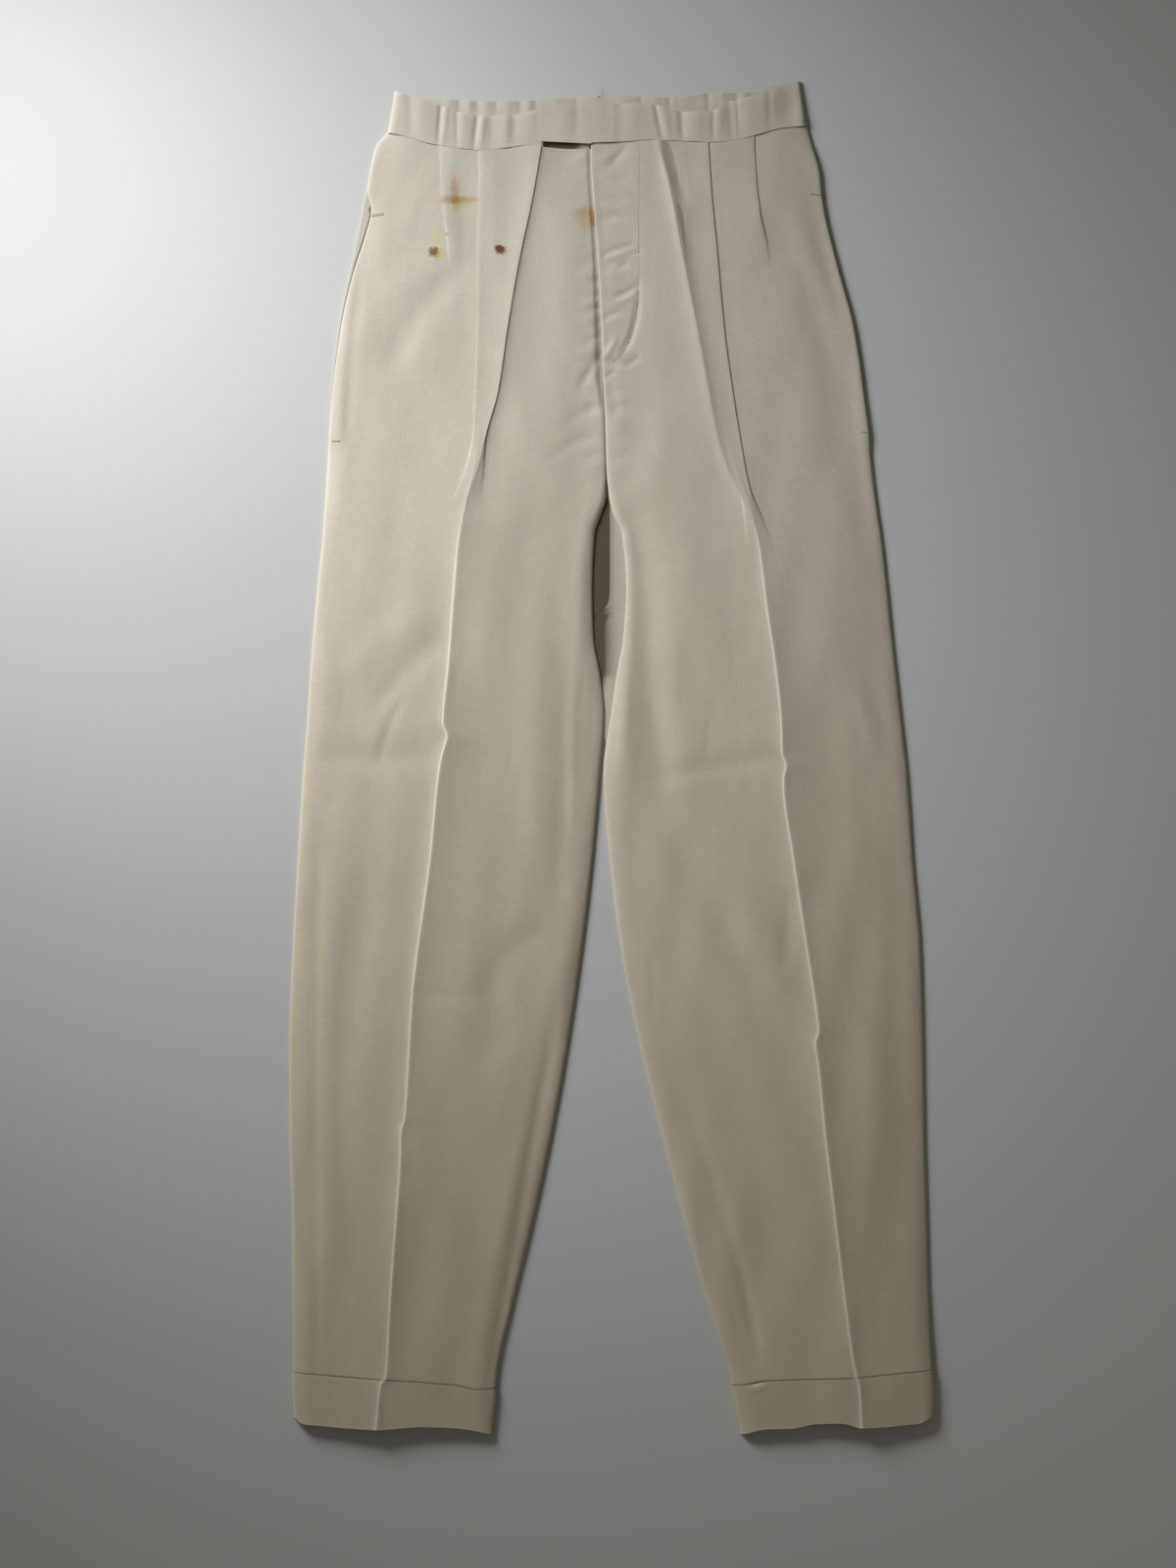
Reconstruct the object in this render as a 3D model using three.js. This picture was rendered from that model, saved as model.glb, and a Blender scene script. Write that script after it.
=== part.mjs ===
// Pleated trousers, laid flat with the front up.
// Millimetres. +X is the wearer's left, +Y the waist, +Z up from the surface they lie on.
// Every piece of cloth is a closed wall, made from the sections of its outer face.
import * as THREE from "three";

// Driving sizes
const CLOTH = 1; // wall of every piece
const GAP = 0.3; // between neighbouring pieces
const LAYER = CLOTH + GAP; // from one layer of cloth to the next
const FRONT_TOP = 4.4; // outer face of the fronts over the surface
const ROLL = 6; // width in which a front rolls down to a seam
const ROLL_STEPS = 3;
const TURN_STEPS = 3; // facets of each half turn in a fold
const LEAST_DEPTH = 0.4; // of a fold that has run out
const OPEN_SPREAD = 3; // half the width that a fold's columns take once it lies open
const OPEN_SHIFT = 4; // how far such columns stand off the crease
const CREASE_WIDTH = 5; // fall-off of the pressed crease on either side
const CROWN = 0.8; // fullness of a front between its edges and its crease
const EDGE_FADE = 12; // folds die out this near to an edge
const FACING_WIDTH = 18;
const FLY_SLOPE = 14; // width in which the right front steps down under the fly
const FLY_REST = 3; // flat cloth beside the fly's edge
const FLAP_TOP = 2 * LAYER + CLOTH; // outer face of the fly's edge
const BAND_TOP = 5.2; // outer face of the front bands
const TAB_TOP = 5.7; // outer face of the tab
const UNDER_TAB_TOP = 3.9; // outer face of the right band under the tab
const BAND_STEP = 3.2; // spacing of the columns that follow the gathers
const BACK_COLUMNS = 9;
const FACING_COLUMNS = 3;
const PLAIN_STEPS = 3; // columns of each plain stretch of a front
const DRAPE_END = 0.15; // share of a soft fold's length in which it dies out at each end
const CLOTH_COLOUR = "#cbc3b1";
const FACING_COLOUR = "#b9b09c";

// A short table. Its first column is the key, in rising or falling order.
function table(names, ...rows) {
  return { names: names.split(" "), rows };
}

// The value of a column at a key, on a straight line between the table's rows.
function read(source, name, key) {
  const column = source.names.indexOf(name);
  const rows = source.rows;
  const falling = rows[0][0] > rows[rows.length - 1][0];
  const ordered = falling ? [...rows].reverse() : rows;
  if (key <= ordered[0][0]) return ordered[0][column];
  const next = ordered.findIndex((row) => row[0] >= key);
  if (next < 0) return ordered[ordered.length - 1][column];
  const low = ordered[next - 1];
  const high = ordered[next];
  const share = (key - low[0]) / (high[0] - low[0]);
  return low[column] + share * (high[column] - low[column]);
}

function smooth(value) {
  const share = Math.min(1, Math.max(0, value));
  return share * share * (3 - 2 * share);
}

// Sections of the fronts, from the waist to the hem. Their heights follow the curve of the waist
// seam, of the turn-up's upper edge or of the hem by the share given for each.
const WAIST = 494.5;
const CUFF = -503;
const HEM = -542;
const FRONT_ROWS = table(
  "y waist cuff hem",
  [494.35, 1, 0, 0],
  [484, 1, 0, 0],
  [468, 0.7, 0, 0],
  [446, 0.3, 0, 0],
  [420, 0, 0, 0],
  [394, 0, 0, 0],
  [366, 0, 0, 0],
  [338, 0, 0, 0],
  [308, 0, 0, 0],
  [292, 0, 0, 0],
  [278, 0, 0, 0],
  [262, 0, 0, 0],
  [247, 0, 0, 0],
  [232, 0, 0, 0],
  [216, 0, 0, 0],
  [201, 0, 0, 0],
  [181, 0, 0, 0],
  [160, 0, 0, 0],
  [137, 0, 0, 0],
  [97, 0, 0, 0],
  [66, 0, 0, 0],
  [36, 0, 0, 0],
  [16, 0, 0, 0],
  [3, 0, 0, 0],
  [-12, 0, 0, 0],
  [-85, 0, 0, 0],
  [-156, 0, 0, 0],
  [-228, 0, 0, 0],
  [-299, 0, 0, 0],
  [-370, 0, 0, 0],
  [-442, 0, 0.3, 0],
  [-486, 0, 1, 0],
  [-501.5, 0, 1, 0],
  [-539.5, 0, 0, 1],
);
const BACK_ROWS = table(
  "y waist cuff hem",
  [494.35, 1, 0, 0],
  [468, 0.7, 0, 0],
  [420, 0, 0, 0],
  [338, 0, 0, 0],
  [278, 0, 0, 0],
  [232, 0, 0, 0],
  [201, 0, 0, 0],
  [160, 0, 0, 0],
  [137.5, 0, 0, 0],
  [126, 0, 0, 0],
  [112, 0, 0, 0],
  [101.5, 0, 0, 0],
  [89.5, 0, 0, 0],
  [66, 0, 0, 0],
  [42, 0, 0, 0],
  [13.5, 0, 0, 0],
  [-12, 0, 0, 0],
  [-85, 0, 0, 0],
  [-156, 0, 0, 0],
  [-228, 0, 0, 0],
  [-299, 0, 0, 0],
  [-370, 0, 0, 0],
  [-442, 0, 0.3, 0],
  [-486, 0, 1, 0],
  [-501.5, 0, 1, 0],
  [-539.5, 0, 0, 1],
);
const CUFF_ROWS = table(
  "y waist cuff hem",
  [-503, 0, 1, 0],
  [-522, 0, 0.5, 0.5],
  [-542, 0, 0, 1],
);
// The panels are lifted by one layer where they lie over the back of the turn-up.
const HEM_LIFT = table("y lift", [-486, 0], [-501.5, LAYER]);

// The legs. hand is the sign of X on that side.
// outline: the side edge and the inner edge. back: the inner edge of the back panel.
// folds: the dart, the second pleat and the crease, by the X of their folded edges, with the
// depth of cloth turned under and the angle through which each pleat turns.
const RIGHT = {
  name: "right",
  hand: -1,
  outline: table(
    "y side inner",
    [505, -182, -13.5],
    [494.5, -190.5, -13.5],
    [455, -198.5, -11],
    [407, -208, -8.5],
    [351.5, -219.5, -7.5],
    [296, -226, -5.8],
    [232, -230, -4.3],
    [208.5, -231.5, -5],
    [197, -232.5, -8.5],
    [181, -233.5, -13.5],
    [137, -238, -15.5],
    [97, -241.5, -14.5],
    [66, -244, -9],
    [34, -246, -6],
    [-12, -249.5, -9.5],
    [-85, -254, -16],
    [-156, -258, -24.5],
    [-228, -260.5, -35],
    [-299, -260.5, -47.5],
    [-370, -258.5, -62.5],
    [-442, -258, -80],
    [-497, -258, -92.5],
    [-521, -257, -94.5],
    [-545, -255, -97],
  ),
  back: table(
    "y inner",
    [502, -5.8],
    [232, -5.8],
    [201, -1.8],
    [137.5, -1.8],
    [126, -3],
    [112, -14.5],
    [101.5, -16.5],
    [66, -16],
    [42, -11],
    [13.5, -6.5],
  ),
  folds: table(
    "y dart box crease",
    [494.5, -139, -107.5, -56.5],
    [462, -139, -107.5, -64],
    [439, -134.5, -108, -68],
    [415, -129.5, -108.5, -72.5],
    [391, -129, -108.5, -76.5],
    [343, -134, -109, -84.5],
    [296, -142, -110.5, -91.5],
    [264, -150, -111.5, -100.5],
    [232, -154, -113.5, -108.5],
    [201, -158, -118.5, -118.5],
    [169, -162, -124, -124],
    [121, -166, -128, -128],
    [74, -170, -131.5, -131.5],
    [30, -174, -135.5, -135.5],
    [16, -175, -135.5, -135.5],
    [-12, -177, -139, -139],
    [-85, -186, -148, -148],
    [-156, -194, -156.5, -156.5],
    [-228, -200, -162.5, -162.5],
    [-301, -206, -169, -169],
    [-370, -210, -174.5, -174.5],
    [-442, -214, -179, -179],
    [-507, -216, -184.5, -184.5],
    [-545, -217, -189.5, -189.5],
  ),
  pleats: table(
    "y depth angle",
    [505, 11, 180],
    [391, 9, 180],
    [343, 7, 180],
    [308, 5, 180],
    [278, 2.5, 180],
    [262, 1, 175],
    [247, LEAST_DEPTH, 140],
    [232, LEAST_DEPTH, 95],
    [216, LEAST_DEPTH, 45],
    [201, LEAST_DEPTH, 0],
  ),
  dart: table(
    "y depth angle",
    [494.5, 8, 180],
    [468, 5, 180],
    [446, 2, 180],
    [420, LEAST_DEPTH, 110],
    [394, LEAST_DEPTH, 0],
  ),
  ridge: table("y height", [262, 0], [232, 1], [201, 2.4], [-442, 2.4], [-542, 1.8]),
  // How far the pocket's front edge lies inside the side edge.
  mouth: table("y inset", [468, 0], [446, 8], [420, 5], [394, 2], [338, 1], [262, 0]),
  // The largest soft folds of the front, from one end to the other.
  drapes: table(
    "x0 y0 x1 y1 width height",
    [-133, 394, -188, 318, 14, -0.9],
    [-225, 0, -142, 4, 8, -0.9],
    [-170, 42, -186, 4, 6, -0.7],
    [-62, 300, -36, 215, 16, 0.9],
    [-200, 180, -212, 60, 20, 0.8],
  ),
  waist: table(
    "x y",
    [-180, 505],
    [-163.5, 501.5],
    [-150, 497],
    [-125.5, 493],
    [-105, 491],
    [-84, 493],
    [-67.5, 495],
    [-54, 493.5],
    [-32.5, 492],
    [-9.5, 492],
  ),
  backWaist: table("x y", [-182, 505], [-5.8, 494]),
  cuffTop: table(
    "x y",
    [-258, -497.5],
    [-190.5, -502.5],
    [-152.5, -505],
    [-127, -507.5],
    [-108, -511],
    [-92, -510.5],
  ),
  cuffBottom: table(
    "x y",
    [-256, -533.5],
    [-251, -538],
    [-238.5, -539.5],
    [-189, -542.5],
    [-152.5, -540.5],
    [-127, -541.5],
    [-113, -543.5],
    [-97, -547],
  ),
};
const LEFT = {
  name: "left",
  hand: 1,
  outline: table(
    "y side inner",
    [511, 158, -13.5],
    [494.5, 162.5, -13.2],
    [455, 170.5, -10.7],
    [407, 181.5, -8.2],
    [351.5, 196.5, -7.2],
    [296, 205, -5.5],
    [232, 211, -4],
    [208.5, 214, -1.5],
    [197, 215.5, 1.5],
    [181, 218, 8.5],
    [137, 223, 12],
    [97, 227, 9.5],
    [66, 230.5, 4],
    [34, 234, -0.5],
    [-12, 239, -6.5],
    [-85, 244, -1],
    [-156, 250, 8],
    [-228, 252, 22],
    [-299, 253, 39.5],
    [-370, 255, 57.5],
    [-442, 257, 78],
    [-497, 259.5, 95],
    [-521, 260.5, 100],
    [-545, 258.5, 105],
  ),
  back: table(
    "y inner",
    [502, -5.5],
    [232, -5.5],
    [201, -1.5],
    [137.5, -1.5],
    [126, -2.5],
    [112, -13.5],
    [101.5, -12],
    [89.5, -6.5],
    [66, -9.5],
    [42, -8],
    [13.5, -5],
  ),
  folds: table(
    "y dart box crease",
    [494.5, 115.5, 78.5, 38],
    [462, 117.5, 80.5, 46.5],
    [439, 120.5, 82.5, 51],
    [415, 126, 85, 55.5],
    [391, 128, 87, 60],
    [343, 132, 91.5, 69.5],
    [296, 136, 98, 78],
    [264, 138, 103, 84],
    [232, 141, 108.5, 93.5],
    [201, 146, 115, 109.5],
    [169, 152, 119.5, 119.5],
    [121, 158, 125.5, 125.5],
    [74, 165, 132.5, 132.5],
    [30, 172, 139, 139],
    [16, 174, 140.5, 140.5],
    [-12, 175, 140.5, 140.5],
    [-85, 184, 149.5, 149.5],
    [-156, 193, 158.5, 158.5],
    [-228, 198, 165, 165],
    [-301, 204, 171.5, 171.5],
    [-370, 212, 180.5, 180.5],
    [-442, 220, 189.5, 189.5],
    [-507, 226, 198.5, 198.5],
    [-545, 229, 202, 202],
  ),
  pleats: table(
    "y depth angle",
    [505, 11, 180],
    [391, 8, 180],
    [343, 6.5, 180],
    [308, 5.5, 180],
    [262, 4.5, 180],
    [247, 4, 180],
    [232, 2.5, 180],
    [216, 1, 175],
    [201, LEAST_DEPTH, 120],
    [181, LEAST_DEPTH, 50],
    [160, LEAST_DEPTH, 0],
  ),
  dart: table(
    "y depth angle",
    [502, 8, 180],
    [468, 5.5, 180],
    [446, 2.5, 180],
    [420, LEAST_DEPTH, 110],
    [394, LEAST_DEPTH, 0],
  ),
  ridge: table("y height", [216, 0], [181, 1.8], [160, 2.4], [-442, 2.4], [-542, 1.8]),
  mouth: table("y inset", [468, 0], [444, 3.4], [300, 3.4], [262, 0]),
  drapes: table(
    "x0 y0 x1 y1 width height",
    [134, 394, 178, 290, 14, -0.9],
    [52, -12, 138, -6, 8, -0.9],
    [79, 16, 72, -12, 6, -0.6],
    [205, 62, 222, 4, 7, -0.6],
    [40, 290, 20, 215, 16, 0.8],
  ),
  waist: table(
    "x y",
    [-14.5, 497],
    [12.5, 498],
    [31.5, 499.5],
    [57, 498.5],
    [82, 497.5],
    [101, 499.5],
    [114, 502.5],
    [139, 509],
    [158, 511],
  ),
  backWaist: table("x y", [-5.5, 494], [158, 511]),
  cuffTop: table(
    "x y",
    [96, -508],
    [110.5, -507],
    [127, -504],
    [192.5, -501.5],
    [227.5, -498.5],
    [261, -495.5],
  ),
  cuffBottom: table(
    "x y",
    [106, -547],
    [125.5, -542.5],
    [145, -542],
    [166.5, -538],
    [186.5, -537.5],
    [201.5, -541],
    [248.5, -538],
    [260.5, -531.5],
  ),
};
// How far the right front runs on under the fly, past the fly's edge.
const FLY_UNDERLAP = table("y reach", [505, 12], [366, 12], [338, 7], [308, -GAP]);
// Share of the rolled edge in the fronts' inner edges: none at the fly, whole under it.
const INNER_ROLL = table("y share", [308, 0], [278, 1]);
// Share of the facing's layer under the fronts' side edge.
const POCKET_SHARE = table("y share", [484, 0], [468, 1], [262, 1], [247, 0]);
const POCKET_ROWS = table(
  "y waist cuff hem",
  [448, 0, 0, 0],
  [420, 0, 0, 0],
  [394, 0, 0, 0],
  [338, 0, 0, 0],
  [300, 0, 0, 0],
  [266, 0, 0, 0],
);

// The waistband. Its gathers are troughs and ridges that run from its lower to its upper edge.
const BAND_SEAM = GAP / 2;
const RIGHT_BAND = {
  top: table(
    "x y",
    [-175.5, 539.5],
    [-160.5, 534],
    [-146, 529.5],
    [-122, 521.5],
    [-106.5, 518.5],
    [-90.5, 519],
    [-72, 520.5],
    [-58, 524.5],
    [-1, 524],
  ),
  gathers: table(
    "foot head width height",
    [-161, -164, 7, -0.8],
    [-153, -154, 5, 0.8],
    [-140.5, -136.5, 3, -1.1],
    [-130, -130, 3.4, 0.9],
    [-123.5, -124, 3, -0.8],
    [-116, -117, 3.4, 0.7],
    [-110.5, -108.5, 3, -1.1],
    [-102, -103, 2.6, -0.6],
    [-97, -97, 2.6, 0.6],
    [-91, -91, 3, -0.8],
    [-84, -84, 3.4, 0.8],
    [-77, -76, 3, -0.9],
    [-69, -69, 3, 0.6],
  ),
};
const LEFT_BAND = {
  top: table(
    "x y",
    [-57, 529.5],
    [-43, 528],
    [12.5, 528.5],
    [35, 528],
    [44.5, 524.5],
    [60.5, 522],
    [81.5, 523],
    [92, 529],
    [115, 535],
    [135, 542],
    [152.5, 547],
  ),
  gathers: table(
    "foot head width height",
    [-28.5, -29, 5, -0.5],
    [19, 19, 7, 0.5],
    [40.5, 36, 3.2, -1.1],
    [49, 48, 3.4, 0.9],
    [59, 58, 3, -1.1],
    [72, 70, 4, 0.9],
    [82, 81, 3, -1],
    [89, 88, 2.8, 0.8],
    [102, 99, 3, -1.1],
    [108, 107, 3, 0.6],
    [115, 115, 3, -0.7],
    [128, 127, 6, 0.9],
    [142, 140, 6, -0.8],
  ),
};
const BACK_BAND = {
  top: table(
    "x y",
    [-175.5, 539.5],
    [-159.5, 535],
    [-124.5, 532],
    [-90.5, 531],
    [-66, 531.5],
    [-11, 535.5],
    [57, 534.5],
    [72, 537],
    [118.5, 539],
    [135, 544.5],
    [152.5, 547.5],
  ),
  ripples: table(
    "x width height",
    [-130, 5, 0.7],
    [-115, 4, 0.8],
    [-101, 4, 0.7],
    [-84, 5, 0.8],
    [-68, 4, 0.6],
    [-46, 6, 0.6],
    [-14, 7, 0.6],
    [11, 6, 0.7],
    [36, 4, 0.7],
    [61, 6, 0.8],
    [90, 4, 0.8],
    [104, 3.4, 0.7],
    [124, 6, 0.6],
  ),
};
const RIGHT_SIDE = { foot: -181.5, head: -175.5 };
const LEFT_SIDE = { foot: 158, head: 152.5 };
const TAB_END = { foot: -57.6, head: -57 };
const TAB_FOOT = table("x y", [-57.6, 497.5], [-14.5, 497]);
const UNDER_TAB_END = -15;
const TAB_STEP = 8; // width in which the right band goes down under the tab
const BAND_SHARES = [0, 0.45, 0.9, 1];
const BAND_EDGE_DROP = 0.3; // of the band's folded upper edge
const BAND_EDGE_START = 0.9; // share of the band's height where that begins

// The height of a section where its column stands at x.
function rowHeight(leg, row, x) {
  const [y, waist, cuff, hem] = row;
  return (
    y +
    waist * (read(leg.waist, "y", x) - WAIST) +
    cuff * (read(leg.cuffTop, "y", x) - CUFF) +
    hem * (read(leg.cuffBottom, "y", x) - HEM)
  );
}

// The X of an edge or fold on a section, at the height that the section has there.
function edgeAt(leg, row, source, column) {
  const guess = read(source, column, row[0]);
  return read(source, column, rowHeight(leg, row, guess));
}

// The sections below run in w, which grows from the side edge to the inner edge on both legs.
// Each point holds w, z and the angle through which the cloth has turned there.

function evenly(from, to, steps) {
  const points = [];
  for (let step = 1; step < steps; step += 1) {
    const share = step / steps;
    points.push({
      w: from.w + share * (to.w - from.w),
      z: from.z + share * (to.z - from.z),
      turn: 0,
    });
  }
  return points;
}

// A quarter of an ellipse, from an upright edge at (edge, low) up to the height top.
function rolledEdge(edge, low, top) {
  const points = [];
  for (let step = 0; step <= ROLL_STEPS; step += 1) {
    const angle = (step / ROLL_STEPS) * (Math.PI / 2);
    points.push({
      w: edge + ROLL * (1 - Math.cos(angle)),
      z: low + (top - low) * Math.sin(angle),
      turn: Math.atan2((top - low) * Math.cos(angle), ROLL * Math.sin(angle)),
    });
  }
  return points;
}

// A pleat whose folded edge looks to the side. The cloth turns back over itself by the angle,
// runs back by the depth and turns on again, one turn tight and one turn round the cloth.
function pleat(edge, base, depth, angle) {
  const tight = GAP / 2;
  const round = CLOTH + GAP / 2;
  const open = 1 - angle / Math.PI;
  const firstEnd = { w: tight * Math.sin(angle), z: base + tight * (1 - Math.cos(angle)) };
  const second = {
    w: firstEnd.w + depth * Math.cos(angle) + round * Math.sin(angle),
    z: firstEnd.z + depth * Math.sin(angle) - round * Math.cos(angle),
  };
  const reach = round * Math.sin(Math.min(angle, Math.PI / 2));
  const shift = edge + reach - second.w;
  const points = [];
  for (let step = 0; step <= TURN_STEPS; step += 1) {
    const turn = (angle * step) / TURN_STEPS;
    points.push({ w: tight * Math.sin(turn), z: base + tight * (1 - Math.cos(turn)), turn });
  }
  for (let step = TURN_STEPS; step >= 0; step -= 1) {
    const turn = (angle * step) / TURN_STEPS;
    points.push({
      w: second.w - round * Math.sin(turn),
      z: second.z + round * Math.cos(turn),
      turn,
    });
  }
  const last = points.length - 1;
  points.forEach((point, index) => {
    point.w += shift + open * OPEN_SPREAD * ((2 * index) / last - 1);
  });
  return points;
}

// The same pleat with its folded edge towards the fly.
function pleatToFly(edge, base, depth, angle) {
  return pleat(-edge, base, depth, angle)
    .reverse()
    .map((point) => ({ w: -point.w, z: point.z, turn: -point.turn }));
}

// The fronts' inner edge: a step under the fly on the right, the fly's edge on the left, and a
// rolled edge at the centre seam and down the leg.
function innerEdge(leg, row, inner, base, low) {
  const rolled = rolledEdge(-inner, low, base)
    .reverse()
    .map((point) => ({ w: -point.w, z: point.z, turn: -point.turn }));
  const share = read(INNER_ROLL, "share", row[0]);
  if (share >= 1) return rolled;
  const edge = -leg.hand * edgeAt(LEFT, row, LEFT.outline, "inner");
  const under = leg.hand < 0;
  const rest = under ? LAYER + CLOTH : FLAP_TOP;
  const end = under ? inner : edge;
  const start = edge - FLY_REST - FLY_SLOPE;
  const flat = [
    { w: start, z: base, turn: 0 },
    { w: start + FLY_SLOPE / 2, z: (base + rest) / 2, turn: 0 },
    { w: Math.min(edge - FLY_REST, end - FLY_REST), z: rest, turn: 0 },
    { w: end, z: rest, turn: 0 },
  ];
  return flat.map((point, index) => ({
    w: point.w + share * (rolled[index].w - point.w),
    z: point.z + share * (rolled[index].z - point.z),
    turn: share * rolled[index].turn,
  }));
}

// The inner edge: the leg's own, but on the right front the cloth that runs on under the fly.
function innerW(leg, row) {
  const own = -leg.hand * edgeAt(leg, row, leg.outline, "inner");
  const flyFoot = INNER_ROLL.rows[0][0];
  if (leg.hand > 0 || row[0] <= flyFoot) return own;
  const fly = edgeAt(LEFT, row, LEFT.outline, "inner");
  return fly + read(FLY_UNDERLAP, "reach", row[0]);
}

function frontSection(leg, row) {
  const lift = read(HEM_LIFT, "lift", row[0]);
  const base = FRONT_TOP + lift;
  const low = LAYER + lift;
  const pocket = LAYER * read(POCKET_SHARE, "share", row[0]);
  const inset = read(leg.mouth, "inset", row[0]);
  const side = -leg.hand * edgeAt(leg, row, leg.outline, "side") + inset;
  const inner = innerW(leg, row);
  const dart = -leg.hand * edgeAt(leg, row, leg.folds, "dart");
  const box = -leg.hand * edgeAt(leg, row, leg.folds, "box");
  const crease = -leg.hand * edgeAt(leg, row, leg.folds, "crease");
  const dartDepth = read(leg.dart, "depth", row[0]);
  const dartAngle = (read(leg.dart, "angle", row[0]) * Math.PI) / 180;
  const depth = read(leg.pleats, "depth", row[0]);
  const angle = (read(leg.pleats, "angle", row[0]) * Math.PI) / 180;
  const shift = OPEN_SHIFT * (1 - angle / Math.PI);

  const sideRoll = rolledEdge(side, low + pocket, base);
  const dartFold = pleat(dart, base, dartDepth, dartAngle);
  const boxFold = pleat(box - shift, base, depth, angle);
  const mainFold = pleatToFly(crease + shift, base, depth, angle);
  const edge = innerEdge(leg, row, inner, base, low);
  const overDart = {
    w: dart + 2 * LAYER + dartDepth,
    z: dartFold[dartFold.length - 1].z,
    turn: 0,
  };
  const spread = OPEN_SPREAD * (1 - angle / Math.PI);
  const beforeBox = { w: box - shift - LAYER - spread, z: base, turn: 0 };
  return [
    ...sideRoll,
    ...evenly(sideRoll[ROLL_STEPS], dartFold[0], PLAIN_STEPS),
    ...dartFold,
    overDart,
    ...evenly(overDart, beforeBox, 2),
    beforeBox,
    ...boxFold,
    ...evenly(boxFold[boxFold.length - 1], mainFold[0], 2),
    ...mainFold,
    ...evenly(mainFold[mainFold.length - 1], edge[0], PLAIN_STEPS),
    ...edge,
  ];
}

// Height added to a front at (x, y): its crease, its fullness and its soft folds.
function relief(leg, x, y) {
  const side = read(leg.outline, "side", y);
  const inner = read(leg.outline, "inner", y);
  const crease = (read(leg.folds, "box", y) + read(leg.folds, "crease", y)) / 2;
  const fromSide = Math.abs(x - side);
  const fromInner = (x - inner) * leg.hand;
  const fade = smooth(fromSide / EDGE_FADE) * smooth(fromInner / EDGE_FADE);
  const edge = (x - crease) * leg.hand > 0 ? side : inner;
  const share = Math.min(1, Math.max(0, (x - crease) / (edge - crease)));
  let height = CROWN * Math.sin(Math.PI * share);
  height += read(leg.ridge, "height", y) * Math.exp(-Math.abs(x - crease) / CREASE_WIDTH);
  for (const [x0, y0, x1, y1, width, rise] of leg.drapes.rows) {
    const length = Math.hypot(x1 - x0, y1 - y0);
    const along = ((x - x0) * (x1 - x0) + (y - y0) * (y1 - y0)) / (length * length);
    const across = ((x - x0) * (y1 - y0) - (y - y0) * (x1 - x0)) / length;
    const start = smooth((along + DRAPE_END) / (2 * DRAPE_END));
    const end = smooth((1 + DRAPE_END - along) / (2 * DRAPE_END));
    height += rise * start * end * Math.exp(-((across / width) ** 2));
  }
  return height * fade;
}

// A closed wall between two grids of points, the outer face and the inner face.
function wall(outer, inner, mirrored) {
  const rows = outer.length;
  const columns = outer[0].length;
  const at = (face, row, column) => (face * rows + row) * columns + column;
  const index = [];
  const quad = (a, b, c, d) => {
    if (mirrored) index.push(a, c, b, a, d, c);
    else index.push(a, b, c, a, c, d);
  };
  const lastRow = rows - 1;
  const lastColumn = columns - 1;
  for (let row = 0; row < lastRow; row += 1) {
    for (let column = 0; column < lastColumn; column += 1) {
      const right = column + 1;
      quad(at(0, row, column), at(0, row + 1, column), at(0, row + 1, right), at(0, row, right));
      quad(at(1, row, column), at(1, row, right), at(1, row + 1, right), at(1, row + 1, column));
    }
    quad(at(0, row, 0), at(1, row, 0), at(1, row + 1, 0), at(0, row + 1, 0));
    quad(
      at(0, row, lastColumn),
      at(0, row + 1, lastColumn),
      at(1, row + 1, lastColumn),
      at(1, row, lastColumn),
    );
  }
  for (let column = 0; column < lastColumn; column += 1) {
    const right = column + 1;
    quad(at(0, 0, column), at(0, 0, right), at(1, 0, right), at(1, 0, column));
    quad(
      at(0, lastRow, column),
      at(1, lastRow, column),
      at(1, lastRow, right),
      at(0, lastRow, right),
    );
  }
  const points = [...outer.flat(), ...inner.flat()];
  const geometry = new THREE.BufferGeometry().setFromPoints(points);
  geometry.setIndex(index);
  geometry.computeVertexNormals();
  return geometry;
}

// A point off the section's outer face: out is the distance along its outward normal.
function offPoint(leg, row, point, out) {
  const w = point.w - out * Math.sin(point.turn);
  const x = -leg.hand * w;
  const y = rowHeight(leg, row, x);
  const z = point.z + out * Math.cos(point.turn) + relief(leg, x, y);
  return new THREE.Vector3(x, y, z);
}

function frontPanel(leg) {
  const sections = FRONT_ROWS.rows.map((row) => frontSection(leg, row));
  const grid = (out) =>
    sections.map((section, index) =>
      section.map((point) => offPoint(leg, FRONT_ROWS.rows[index], point, out)),
    );
  return wall(grid(0), grid(-CLOTH), leg.hand > 0);
}

// The front of the turn-up lies one gap over the front panel and ends on the back's layer.
function frontTurnup(leg) {
  const grid = (out) =>
    CUFF_ROWS.rows.map((row) => {
      const section = frontSection(leg, row);
      const first = section[0];
      const last = section[section.length - 1];
      const all = [{ ...first, z: LAYER }, ...section, { ...last, z: LAYER }];
      return all.map((point) => offPoint(leg, row, point, out));
    });
  return wall(grid(LAYER), grid(GAP), leg.hand > 0);
}

// A flat strip between two edges, given for each row by their X, on the height bottom.
function flatWall(leg, rows, edges, bottom, columns) {
  const grid = (height) =>
    rows.map((row) => {
      const [from, to] = edges(row);
      const points = [];
      for (let column = 0; column <= columns; column += 1) {
        const x = from + (column / columns) * (to - from);
        points.push(new THREE.Vector3(x, rowHeight(leg, row, x), bottom(row) + height));
      }
      return points;
    });
  return wall(grid(CLOTH), grid(0), leg.hand > 0);
}

function backInner(leg, row) {
  const lowest = leg.back.rows[leg.back.rows.length - 1][0];
  if (row[0] >= lowest) return edgeAt(leg, row, leg.back, "inner");
  return edgeAt(leg, row, leg.outline, "inner");
}

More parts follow.
